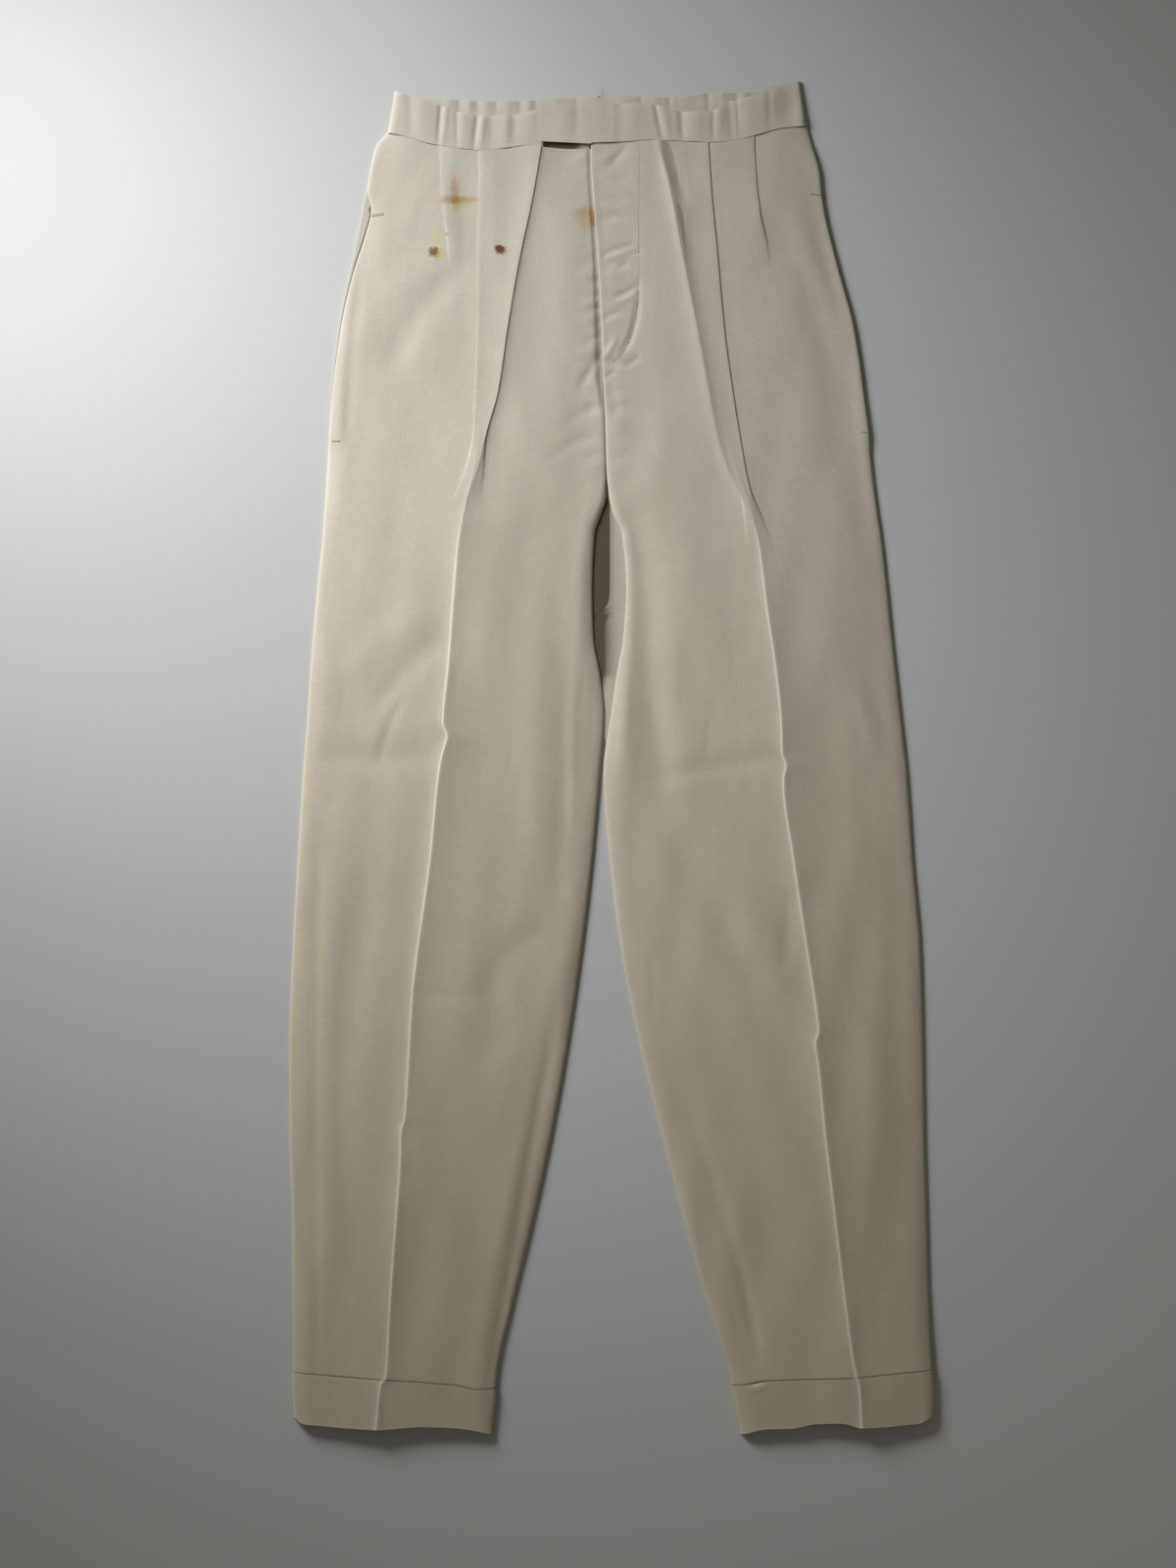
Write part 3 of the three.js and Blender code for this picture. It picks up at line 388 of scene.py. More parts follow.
# The waistband. Its gathers are troughs and ridges that run from its lower to its upper edge.
BAND_SEAM = GAP / 2
RIGHT_BAND = dict(
    top=table(
        "x y",
        [-175.5, 539.5], [-160.5, 534], [-146, 529.5], [-122, 521.5], [-106.5, 518.5], [-90.5, 519],
        [-72, 520.5], [-58, 524.5], [-1, 524],
    ),
    gathers=[
        # x at the foot, x at the head, half width, height
        (-162.4, -163, 4, -0.5), (-152, -152, 7, 0.5), (-140.5, -137.8, 2, -0.9),
        (-136, -133.5, 2.4, 0.5), (-125, -125, 2, -0.5), (-119, -119, 4, 0.4),
        (-111.3, -108.6, 2.2, -1), (-106, -103, 2.6, 0.5), (-97, -97, 4, -0.5), (-86, -85, 4, 0.5),
        (-78.6, -78.6, 4, -0.5), (-66, -66, 5, 0.3),
    ],
)
LEFT_BAND = dict(
    top=table(
        "x y",
        [-57, 529.5], [-43, 528], [12.5, 528.5], [35, 528], [44.5, 524.5], [60.5, 522], [81.5, 523],
        [92, 529], [115, 535], [135, 542], [152.5, 547],
    ),
    gathers=[
        # x at the foot, x at the head, half width, height
        (-28.3, -28.3, 4, -0.4), (-40, -40, 8, 0.3), (-0.8, -0.8, 6, -0.35), (17, 17, 8, 0.4),
        (41.4, 35.4, 2.2, -0.8), (47, 42, 3, 0.4), (57.8, 56.4, 3.2, -1), (69, 68, 6, 0.6),
        (82, 82, 2, -0.5), (88, 87, 3, 0.4), (98, 95.4, 3.6, -0.7), (104, 101, 1.8, -0.5),
        (111, 111, 6, 0.6), (122, 120, 10, 0.8), (128, 127, 2.6, -0.4), (147, 146, 11, -2),
    ],
)
BACK_BAND = dict(
    top=table(
        "x y",
        [-175.5, 539.5], [-159.5, 535], [-124.5, 532], [-90.5, 531], [-66, 531.5], [-11, 535.5],
        [57, 534.5], [72, 537], [118.5, 539], [135, 544.5], [152.5, 547.5],
    ),
    gathers=[
        # x at the foot, x at the head, half width, height
        (-132, -132, 4, 0.6), (-123, -123, 2.4, -0.6), (-115, -115, 3, 0.6),
        (-108.6, -108.6, 2.4, -0.6), (-101, -101, 3, 0.5), (-93, -93, 2.6, -0.5), (-84, -84, 4, 0.6),
        (-74, -74, 2.6, -0.6), (-67, -67, 3, 0.5), (-61, -61, 2.4, -0.5), (-46, -46, 6, 0.5),
        (-28, -28, 3, -0.5), (-14, -14, 6, 0.4), (11, 11, 6, 0.4), (24, 24, 2.4, -0.4),
        (36, 36, 4, 0.5), (47, 47, 2.4, -0.5), (61, 61, 5, 0.5), (78.6, 78.6, 2.6, -0.9),
        (90, 90, 4, 0.6), (101, 101, 2.4, -0.6), (108, 108, 3, 0.5), (124, 124, 6, 0.4),
    ],
)
RIGHT_SIDE = (-181.5, -175.5)  # X of the band's ends, at its foot and at its head
LEFT_SIDE = (158, 152.5)
TAB_END = (-57.6, -57)
TAB_FOOT = table("x y", [-57.6, 498], [-17, 496])
UNDER_TAB_END = (-18, -18)
TAB_STEP = 8  # width in which the right band goes down, once it is under the tab
UNDER_TAB = table("share top", [0, 1.9], [0.12, 2.2], [0.4, 4.6], [1, 4.7])
# The painted shade in the slit under the tab's lower edge, in X
SLIT_START = -56.5
SLIT_END = -19
SLIT_RISE = 2
SLIT_FADE = 14
BAND_EDGE_DROP = 0.5  # of the band's folded upper edge
BAND_EDGE_START = 0.88  # share of the band's height where that begins

UNDER_FLY_STEPS = 6  # columns of the right front's slope beside the fly
FLAP_FLAT_STEPS = 4  # columns of the fly before its folded edge, and their spacing
FLAP_FLAT_STEP = 1.5
FLAP_BLEND = 6  # width in which the fly's edge rises to its full height

# The row of stitches that holds the fly, the one under the tab, and a loose thread
FLY_STITCH = [(22, 494), (21.5, 440), (21, 375), (19.5, 356), (17, 344), (10, 329), (1, 320),
              (-6, 316)]
WAIST_STITCH = [(-51, 490), (-19, 489.6)]
LOOSE_THREAD = [(-10.8, 534.5, 1.6), (-11.6, 537, 2.6), (-11.4, 539.5, 3.2), (-12, 543, 2.8)]
STITCH_LENGTH = 2.6
STITCH_GAP = 0.9
STITCH_WIDTH = 0.42
STITCH_CORNERS = 6
# Rings of a stitch's tube: how far along it, how thick, and how far over the straight line
STITCH_RINGS = ((0, 0.35, -0.1), (0.2, 0.9, 0.08), (0.5, 1, 0.12), (0.8, 0.9, 0.08),
                (1, 0.35, -0.1))
RAY_START = 100  # a height over everything, to look down from

# Where the cloth is worn pale: how strongly, and how far into the piece, in mm or as a share
PRESSED_HEAD = 220  # the pressed crease is worn from here down
PRESSED_FADE = 80
CREASE_WEAR_WIDTH = 1.6
SIDE_WEAR = (0.4, 3)
TURNUP_TOP_WEAR = (0.2, 0.04)
TURNUP_FOOT_WEAR = (0.3, 0.05)
BAND_EDGE_WEAR = (0.3, 0.04)
# Painted shade in the crevice over a turn-up: a thin dark line on the front, and how dark it is
CUFF_LINE = 0.9  # half width of the dark line over a turn-up, and twice its middle's height there
CUFF_LINE_SHADE = 0.66

DRAPE_END = 0.2  # share of a soft fold's length in which it dies out at each end

# The cloth's own unevenness: many faint waves, longer down the leg than across it.
WAVE_SEED = 11
WAVES = 46
WAVE_HEIGHT = 0.05
WAVE_ACROSS = (34, 130)
WAVE_ALONG = (110, 520)
PUCKER_HEIGHT = 0.16
PUCKER_REACH = 9
PUCKER_END = 215
PUCKER_LENGTHS = ((13, 0.3), (19.5, 2.1), (31, 4.4))  # and where each wave starts
GATHER_FOOT = 0.35  # share of its height that a gather still has at the waist seam
GATHER_FULL = 0.5  # share of the band's height where it has all of it


def sections(spacing, end):
    """Heights from the first down to end, at the spacing that holds from each height down."""
    heights = []
    ends = [start for start, _ in spacing[1:]] + [end]
    for (start, step), stop in zip(spacing, ends):
        count = max(1, round((start - stop) / step))
        heights += list(np.linspace(start, stop, count, endpoint=False))
    return rows_at(np.array(heights + [end]))


def rows_at(heights):
    hem = np.clip((HEM_START - heights) / HEM_DEPTH, 0, 1)
    return dict(
        y=heights,
        waist=read(WAIST_SHARE, "share", heights),
        cuff=read(CUFF_SHARE, "share", heights) * (1 - hem),
        hem=hem,
    )


def row_height(leg, rows, x):
    """The height of each section where it stands at x."""
    shape = (-1,) + (1,) * (np.ndim(x) - 1)
    y, waist, cuff, hem = (rows[name].reshape(shape) for name in ("y", "waist", "cuff", "hem"))
    return (
        y
        + waist * (read(leg["waist"], "y", x) - WAIST)
        + cuff * (read(leg["cuff_top"], "y", x) - CUFF)
        + hem * (read(leg["cuff_bottom"], "y", x) - HEM)
    )


def edge_at(leg, rows, source, column):
    """The X of an edge or fold on each section, at the height that the section has there."""
    guess = read(leg[source], column, rows["y"])
    return read(leg[source], column, row_height(leg, rows, guess))


# The sections run in w, which grows from the side edge to the inner edge on both legs. A point
# holds w, z and the angle through which the cloth has turned there, for every section at once.


def evenly(start, end, steps):
    shares = np.linspace(0, 1, steps + 1)[1:-1]
    flat = np.zeros_like(start[0])
    return [
        (start[0] + s * (end[0] - start[0]), start[1] + s * (end[1] - start[1]), flat)
        for s in shares
    ]


def turned_round(points):
    return [(-w, z, -turn) for w, z, turn in reversed(points)]


def rolled_edge(edge, low, top, width=ROLL):
    """A quarter of an ellipse, from an upright edge at (edge, low) up to the height top."""
    points = []
    for angle in np.linspace(0, math.pi / 2, ROLL_STEPS + 1):
        w = edge + width * (1 - math.cos(angle))
        z = low + (top - low) * math.sin(angle)
        turn = np.arctan2((top - low) * math.cos(angle), width * math.sin(angle))
        points.append((w, z, turn))
    return points


def pleat(edge, base, depth, angle):
    """A pleat whose folded edge looks to the side, as in the CAD model."""
    tight = GAP / 2
    around = CLOTH + GAP / 2
    first_w = tight * np.sin(angle)
    first_z = base + tight * (1 - np.cos(angle))
    second_w = first_w + depth * np.cos(angle) + around * np.sin(angle)
    second_z = first_z + depth * np.sin(angle) - around * np.cos(angle)
    turns = [angle * share for share in np.linspace(0, 1, TURN_STEPS + 1)]
    points = [(tight * np.sin(turn), base + tight * (1 - np.cos(turn)), turn) for turn in turns]
    points += [
        (second_w - around * np.sin(turn), second_z + around * np.cos(turn), turn)
        for turn in reversed(turns)
    ]
    shift = edge + around * np.sin(np.minimum(angle, math.pi / 2)) - second_w
    opened = 1 - angle / math.pi
    last = len(points) - 1
    return [
        (w + shift + opened * OPEN_SPREAD * (2 * index / last - 1), z, turn)
        for index, (w, z, turn) in enumerate(points)
    ]


def under_fly(inner, edge, base, y):
    """The right front's edge: it steps down beside the fly's edge and runs on under it."""
    foot = edge - FLY_REST
    start = foot - read(FLY_STEP, "width", y)
    points = []
    for index in range(ROLL_STEPS + 1):
        share = min(1, index / UNDER_FLY_STEPS)
        beyond = max(0, index - UNDER_FLY_STEPS) / (ROLL_STEPS - UNDER_FLY_STEPS)
        w = start + share * (foot - start) + beyond * (inner - foot)
        z = base + (read(FLY_STEP, "top", y) - base) * smooth(share)
        points.append((w, z, np.zeros_like(y)))
    return points


def fly_edge(edge, base, y):
    """The left front's folded edge, which lies over the right front."""
    points = []
    for index in range(ROLL_STEPS + 1):
        angle = max(0, index - FLAP_FLAT_STEPS) / (ROLL_STEPS - FLAP_FLAT_STEPS) * math.pi / 2
        flat = max(0, FLAP_FLAT_STEPS - index) * FLAP_FLAT_STEP
        w = edge - flat - FLAP_ROUND * (1 - math.sin(angle))
        z = FLAP_TOP - FLAP_ROUND * (1 - math.cos(angle)) + 0 * y
        points.append((w, z + (base - FLAP_TOP) * smooth(flat / FLAP_BLEND), -angle + 0 * y))
    return points


def inner_edge(leg, rows, inner, base, low):
    """The fly's edge or the step under it, and a roll down the centre seam and the leg."""
    y = rows["y"]
    low = np.maximum(low, read(INNER_EDGE, "low", y))
    rolled = turned_round(rolled_edge(-inner, low, base, read(INNER_EDGE, "width", y)))
    share = read(INNER_ROLL, "share", y)
    edge = -leg["hand"] * edge_at(LEFT, rows, "outline", "inner")
    lapped = under_fly(inner, edge, base, y) if leg["hand"] < 0 else fly_edge(edge, base, y)
    return [
        tuple(part + share * (end - part) for part, end in zip(first, second))
        for first, second in zip(lapped, rolled)
    ]


def inner_w(leg, rows):
    """Where the front's inner edge lies. Above the crotch the right one runs on under the fly."""
    own = -leg["hand"] * edge_at(leg, rows, "outline", "inner")
    if leg["hand"] > 0:
        return own
    under = edge_at(LEFT, rows, "outline", "inner") + read(FLY_UNDERLAP, "reach", rows["y"])
    return np.where(rows["y"] > INNER_ROLL["y"][-1], under, own)


def front_section(leg, rows):
    """A front's outer face, from the side edge over the dart and the two pleats to the inner edge."""
    y = rows["y"]
    lift = read(HEM_LIFT, "lift", y)
    base = FRONT_TOP + lift
    low = LAYER + lift
    pocket = LAYER * read(POCKET_SHARE, "share", y)
    side = -leg["hand"] * edge_at(leg, rows, "outline", "side") + read(leg["mouth"], "inset", y)
    dart, box, crease = (
        -leg["hand"] * edge_at(leg, rows, "folds", name) for name in ("dart", "box", "crease")
    )
    dart_depth, depth = read(leg["dart"], "depth", y), read(leg["pleats"], "depth", y)
    dart_angle = np.radians(read(leg["dart"], "angle", y))
    angle = np.radians(read(leg["pleats"], "angle", y))
    opened = 1 - angle / math.pi
    shift = OPEN_SHIFT * opened

    flat = np.zeros_like(y)
    dart_reach = 2 * LAYER + dart_depth + OPEN_SPREAD * (1 - dart_angle / math.pi)
    before_box = (box - shift - LAYER - OPEN_SPREAD * opened, base, flat)
    dart = np.minimum(dart, before_box[0] - dart_reach - COLUMN_GAP)

    dart_fold = pleat(dart, base, dart_depth, dart_angle)
    roll = np.minimum(leg["side_roll"], dart_fold[0][0] - side - ROLL_ROOM)
    side_roll = rolled_edge(side, low + pocket, base, roll)
    box_fold = pleat(box - shift, base, depth, angle)
    main_fold = turned_round(pleat(-(crease + shift), base, depth, angle))
    edge = inner_edge(leg, rows, inner_w(leg, rows), base, low)
    over_dart = (dart + dart_reach, dart_fold[-1][1], flat)
    return [
        *side_roll, *evenly(side_roll[-1], dart_fold[0], SIDE_STEPS),
        *dart_fold, over_dart, *evenly(over_dart, before_box, MIDDLE_STEPS), before_box,
        *box_fold, *evenly(box_fold[-1], main_fold[0], TOP_STEPS),
        *main_fold, *evenly(main_fold[-1], edge[0], INNER_STEPS), *edge,
    ]


def wrinkle_height(wrinkles, x, y):
    """Narrow wrinkles, each with its half width, its height and the points it runs through."""
    height = np.zeros_like(x)
    for width, rise, path in wrinkles:
        lengths = [math.dist(start, end) for start, end in zip(path, path[1:])]
        nearest = np.full_like(x, np.inf)
        taper = np.zeros_like(x)
        before = 0
        for (x0, y0), (x1, y1), length in zip(path, path[1:], lengths):
            along = np.clip(((x - x0) * (x1 - x0) + (y - y0) * (y1 - y0)) / length**2, 0, 1)
            distance = np.hypot(x - x0 - along * (x1 - x0), y - y0 - along * (y1 - y0))
            share = (before + along * length) / sum(lengths)
            taper = np.where(distance < nearest, np.sqrt(np.sin(math.pi * share)), taper)
            nearest = np.minimum(nearest, distance)
            before += length
        height += rise * taper * np.exp(-((nearest / width) ** 2))
    return height


def drape_height(drapes, x, y):
    """Soft folds: a trough or ridge along each row's line, which is bowed sideways."""
    height = np.zeros_like(x)
    for x0, y0, x1, y1, bow, width, rise in drapes:
        length = math.hypot(x1 - x0, y1 - y0)
        along = ((x - x0) * (x1 - x0) + (y - y0) * (y1 - y0)) / length**2
        across = ((x - x0) * (y1 - y0) - (y - y0) * (x1 - x0)) / length
        inside = np.clip(along, 0, 1)
        offset = across - bow * 4 * inside * (1 - inside)
        start = smooth((along + DRAPE_END) / (2 * DRAPE_END))
        end = smooth((1 + DRAPE_END - along) / (2 * DRAPE_END))
        height += rise * start * end * np.exp(-((offset / width) ** 2))
    return height


def unevenness(x, y):
    rng = np.random.default_rng(WAVE_SEED)
    height = np.zeros_like(x)
    for _ in range(WAVES):
        across = rng.uniform(*WAVE_ACROSS) * rng.choice([-1, 1])
        along = rng.uniform(*WAVE_ALONG)
        phase = rng.uniform(0, 2 * math.pi)
        height += WAVE_HEIGHT * np.sin(2 * math.pi * (x / across + y / along) + phase)
    return height


def puckers(distance, y):
    """The ripples beside the fly and the centre seam."""
    wave = sum(np.sin(2 * math.pi * y / length + phase) for length, phase in PUCKER_LENGTHS)
    sewn = smooth((y - PUCKER_END) / EDGE_FADE)
    return PUCKER_HEIGHT * wave * sewn * np.exp(-((distance / PUCKER_REACH - 1) ** 2))


def crease_x(leg, y):
    """The pressed crease: midway between the two pleats' folds, which meet in it down the leg."""
    return (read(leg["folds"], "box", y) + read(leg["folds"], "crease", y)) / 2


def relief(leg, x, y):
    """Height added to a front at (x, y): its crease, its fullness and its soft folds."""
    hand = leg["hand"]
    side = read(leg["outline"], "side", y)
    inner = read(leg["outline"], "inner", y)
    crease = crease_x(leg, y)
    from_inner = (x - inner) * hand
    fade = smooth(np.abs(x - side) / EDGE_FADE) * smooth(from_inner / EDGE_FADE)
    outward = (x - crease) * hand > 0
    share = np.clip((x - crease) / (np.where(outward, side, inner) - crease), 0, 1)
    press = {name: read(leg["press"], name, y) for name in ("tent", "edge", "side", "inner")}
    height = press["tent"] * (1 - share)
    skirt = np.where(outward, press["side"], press["inner"])
    height += press["edge"] * np.exp(-np.abs(x - crease) / skirt)
    for name, source in leg["puffs"].items():
        lift, inside, outside = (read(source, part, y) for part in ("lift", "inside", "outside"))
        distance = (x - read(leg["folds"], name, y)) * (hand if name == "crease" else -hand)
        reach = np.where(distance > 0, inside, outside)
        height += lift * np.exp(-np.abs(distance) / reach)
    height += drape_height(leg["drapes"], x, y)
    height += unevenness(x, y)
    height += puckers(from_inner, y)
    return height * fade + wrinkle_height(leg["wrinkles"], x, y)


def off_points(leg, rows, points, out):
    """Points off the section's outer face: out is the distance along its outward normal."""
    w, z, turn = (np.stack(part, axis=1) for part in zip(*points))
    w = w - out * np.sin(turn)
    x = -leg["hand"] * w
    y = row_height(leg, rows, x)
    return np.stack([x, y, z + out * np.cos(turn) + relief(leg, x, y)], axis=2)


def grain_of(grid, start_column=0):
    """Where each point lies in the flat cloth: across the threads, and along them."""
    steps = np.linalg.norm(np.diff(grid[:, :, [0, 2]], axis=1), axis=2)
    across = np.concatenate([np.zeros((len(grid), 1)), np.cumsum(steps, axis=1)], axis=1)
    across = across - across[:, start_column : start_column + 1]
    return np.stack([across, grid[:, :, 1], np.zeros_like(across)], axis=2)


def placed(name, data, location=(0, 0, 0)):
    """A new object in the scene."""
    thing = bpy.data.objects.new(name, data)
    thing.location = location
    bpy.context.collection.objects.link(thing)
    return thing


def shell(name, outer, inner, mirrored, grain, wear_and_shade):
    """A closed shell between two grids of points, the outer face and the inner face."""
    rows, columns = outer.shape[:2]
    out, under = np.arange(2 * rows * columns).reshape(2, rows, columns)
    corners = [
        (out[:-1, :-1], out[1:, :-1], out[1:, 1:], out[:-1, 1:]),
        (under[:-1, :-1], under[:-1, 1:], under[1:, 1:], under[1:, :-1]),
        (out[:-1, 0], under[:-1, 0], under[1:, 0], out[1:, 0]),
        (out[:-1, -1], out[1:, -1], under[1:, -1], under[:-1, -1]),
        (out[0, :-1], out[0, 1:], under[0, 1:], under[0, :-1]),
        (out[-1, :-1], under[-1, :-1], under[-1, 1:], out[-1, 1:]),
    ]
    faces = np.concatenate([np.stack(quads, axis=-1).reshape(-1, 4) for quads in corners])
    if mirrored:
        faces = faces[:, ::-1]
    points = np.concatenate([outer.reshape(-1, 3), inner.reshape(-1, 3)]) * MM
    mesh = bpy.data.meshes.new(name)
    mesh.from_pydata(points.tolist(), [], faces.tolist())
    mesh.validate()
    mesh.shade_smooth()
    mesh.set_sharp_from_angle(angle=math.radians(SHARP_ANGLE))
    both = np.concatenate([grain.reshape(-1, 3)] * 2) * MM
    mesh.attributes.new("grain", "FLOAT_VECTOR", "POINT").data.foreach_set("vector", both.ravel())
    # Positive values are pale wear, negative ones painted shade
    tiled_wear_and_shade = np.tile(np.ravel(wear_and_shade), 2)
    mesh.attributes.new("wear_and_shade", "FLOAT", "POINT").data.foreach_set("value", tiled_wear_and_shade)
    return placed(name, mesh)


def cloth_piece(node, outer, inner, mirrored, grain, wear_and_shade):
    """The shell that stands for a CAD node: the node is hidden, and the shell hangs from the root
    body.
    """
    piece = shell(node + "_cloth", outer, inner, mirrored, grain, wear_and_shade)
    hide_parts(node)
    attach(piece, "root")
    return piece


def crease_wear(leg, x, y):
    """How worn the cloth is: most on the pressed crease, and a little along the side edge."""
    pressed = smooth((PRESSED_HEAD - y) / PRESSED_FADE)
    on_crease = pressed * np.exp(-((x - crease_x(leg, y)) / CREASE_WEAR_WIDTH) ** 2)
    strength, reach = SIDE_WEAR
    return on_crease + strength * np.exp(-np.abs(x - read(leg["outline"], "side", y)) / reach)


def edge_wear(share, strength, reach):
    """Wear that fades out from an edge: share is how far from it a point lies in its piece."""
    return strength * np.exp(-share / reach)


SURFACES = {}


def keep_surface(name, piece):
    mesh = piece.data
    points = [vertex.co.copy() for vertex in mesh.vertices]
    SURFACES[name] = BVHTree.FromPolygons(points, [tuple(face.vertices) for face in mesh.polygons])


def front_panel(leg):
    rows = sections(FRONT_SPACING, FRONT_END)
    points = front_section(leg, rows)
    outer = off_points(leg, rows, points, 0)
    inner = off_points(leg, rows, points, -CLOTH)
    crease = ROLL_STEPS + SIDE_STEPS + 2 * FOLD_COLUMNS + MIDDLE_STEPS + TOP_STEPS // 2
    x, y = outer[:, :, 0], outer[:, :, 1]
    # Pale wear on the crease and side, less a line of painted shade in the crevice over the turn-up
    from_line = y - read(leg["cuff_top"], "y", x) - CUFF_LINE / 2
    wear_and_shade = crease_wear(leg, x, y) - CUFF_LINE_SHADE * np.exp(-((from_line / CUFF_LINE) ** 2))
    node = "front_" + leg["name"]
    piece = cloth_piece(
        node, outer, inner, leg["hand"] < 0, grain_of(outer, crease), wear_and_shade
    )
    keep_surface(node, piece)
    return piece


def turnup_rows():
    shares = np.linspace(0, 1, CUFF_SECTIONS)
    return dict(y=CUFF + shares * (HEM - CUFF), waist=0 * shares, cuff=1 - shares, hem=shares)


def front_turnup(leg):
    rows = turnup_rows()
    points = front_section(leg, rows)
    flat = np.full(CUFF_SECTIONS, LAYER, dtype=float)
    points = [(points[0][0], flat, points[0][2]), *points, (points[-1][0], flat, points[-1][2])]
    outer = off_points(leg, rows, points, TURNUP_OFF)
    inner = off_points(leg, rows, points, TURNUP_OFF - CLOTH)
    down = rows["hem"][:, None]
    wear_and_shade = crease_wear(leg, outer[:, :, 0], outer[:, :, 1])
    wear_and_shade = wear_and_shade + edge_wear(down, *TURNUP_TOP_WEAR) + edge_wear(1 - down, *TURNUP_FOOT_WEAR)
    node = "turnup_front_" + leg["name"]
    return cloth_piece(node, outer, inner, leg["hand"] < 0, grain_of(outer), wear_and_shade)


def flat_shell(node, leg, rows, edges, bottom, top, columns, painted_shade=None):
    """A flat strip between two edges, given for each section by their X."""
    start, end = edges
    x = start[:, None] + np.linspace(0, 1, columns + 1) * (end - start)[:, None]
    y = row_height(leg, rows, x)
    outer, inner = (np.stack([x, y, np.broadcast_to(z, x.shape)], axis=2) for z in (top, bottom))
    # Painted shade from the given function, as negative values
    wear_and_shade = -painted_shade(x, y) if painted_shade else np.zeros_like(x)
    return cloth_piece(
        node, outer, inner, leg["hand"] < 0, grain_of(outer), wear_and_shade
    )


def crotch_shade(leg):
    """Painted shade on the back's cloth inside the window under the crotch."""
    return lambda x, y: sum(
        shade["dark"]
        * smooth((y - shade["foot"]) / shade["fade"])
        * smooth((shade["head"] - y) / shade["fade"])
        * smooth((shade["reach"] - np.abs(x - shade["middle"])) / shade["fade"])
        for shade in leg["windows"]
    )


def back_panel(leg):
    back = {**leg, "waist": leg["back_waist"]}
    rows = sections(BACK_SPACING, FRONT_END)
    inner = np.where(
        rows["y"] >= leg["back"]["y"][0],
        edge_at(back, rows, "back", "inner"),
        edge_at(back, rows, "outline", "inner"),
    )
    edges = (edge_at(back, rows, "outline", "side"), inner)
    bottom = read(HEM_LIFT, "lift", rows["y"])[:, None]
    node = "back_" + leg["name"]
    top = bottom + BACK_TOP
    return flat_shell(
        node, back, rows, edges, bottom, top, BACK_COLUMNS, crotch_shade(leg)
    )


def back_turnup(leg):
    rows = turnup_rows()
    side = edge_at(leg, rows, "outline", "side") + leg["hand"] * LAYER
    inner = edge_at(leg, rows, "outline", "inner") - leg["hand"] * LAYER
    node = "turnup_back_" + leg["name"]
    return flat_shell(node, leg, rows, (side, inner), 0.0, BACK_TOP, BACK_COLUMNS)


def mouth_shade(leg):
    """Painted shade: a dark line on a facing, just outside the front's edge in the pocket's mouth."""

    def shade(x, y):
        edge = read(leg["outline"], "side", y) - leg["hand"] * read(leg["mouth"], "inset", y)
        outside = (x - edge) * leg["hand"] - MOUTH_SHADE_OFF
        return read(leg["slit"], "dark", y) * np.exp(-((outside / MOUTH_SHADE_WIDTH) ** 2))

    return shade


def pocket_facing(leg):
    rows = rows_at(np.linspace(FACING_TOP, FACING_END, FACING_SECTIONS))
    rows["waist"] = 0 * rows["y"]
    side = edge_at(leg, rows, "outline", "side")
    edges = (side, side - leg["hand"] * FACING_WIDTH)
    return flat_shell(
        "pocket_facing_" + leg["name"], leg, rows, edges, LAYER, LAYER + CLOTH, FACING_COLUMNS,
        mouth_shade(leg),
    )


def gather_height(gathers, x, share):
    """The band's gathers: troughs and ridges that lean from foot to head."""
    height = np.zeros_like(x)
    for foot, head, width, rise in gathers:
        height += rise * np.exp(-(((x - foot - share * (head - foot)) / width) ** 2))
    return height * (GATHER_FOOT + (1 - GATHER_FOOT) * smooth(share / GATHER_FULL))


def band_shell(node, ends, foot, head, height, painted_shade=None):
    """One stretch of the waistband, from its left end to its right end."""
    (left_foot, left_head), (right_foot, right_head) = ends
    steps = round((right_foot - left_foot) / BAND_STEP)
    share = np.linspace(0, 1, BAND_SECTIONS)[:, None]
    left = left_foot + share * (left_head - left_foot)
    right = right_foot + share * (right_head - right_foot)
    x = left + np.linspace(0, 1, steps + 1) * (right - left)
    y = foot(x) + share * (read(head, "y", x) - foot(x))
    outer = np.stack([x, y, height(x, share, left, right)], axis=2)
    inner = outer - [0, 0, CLOTH]
    grain = grain_of(outer)[:, :, [1, 0, 2]]
    # Pale wear along the upper edge, less any painted shade
    wear_and_shade = edge_wear(1 - share, *BAND_EDGE_WEAR) - (painted_shade(x) if painted_shade else 0 * x)
    return cloth_piece(node, outer, inner, True, grain, wear_and_shade)


def side_fall(top, distance):
    """From the height of the band's face down to the back band's layer, at a side seam."""
    share = np.clip(distance / ROLL, 0, 1)
    low = LAYER + CLOTH
    return low + (top - low) * np.sqrt(1 - (1 - share) ** 2)


def seam_line(leg):
    """The line that the foot of a front band follows, one gap over the front's upper edge."""
    rows = rows_at(np.array([FRONT_SPACING[0][0]]))
    points = off_points(leg, rows, front_section(leg, rows), 0)[0]
    x = np.linspace(points[:, 0].min(), points[:, 0].max(), SEAM_POINTS)
    y = rows["y"][0] + read(leg["waist"], "y", x) - WAIST + GAP
    return table("x y", *np.stack([x, y], axis=1).tolist())


def edge_drop(share):
    return BAND_EDGE_DROP * smooth((share - BAND_EDGE_START) / (1 - BAND_EDGE_START))


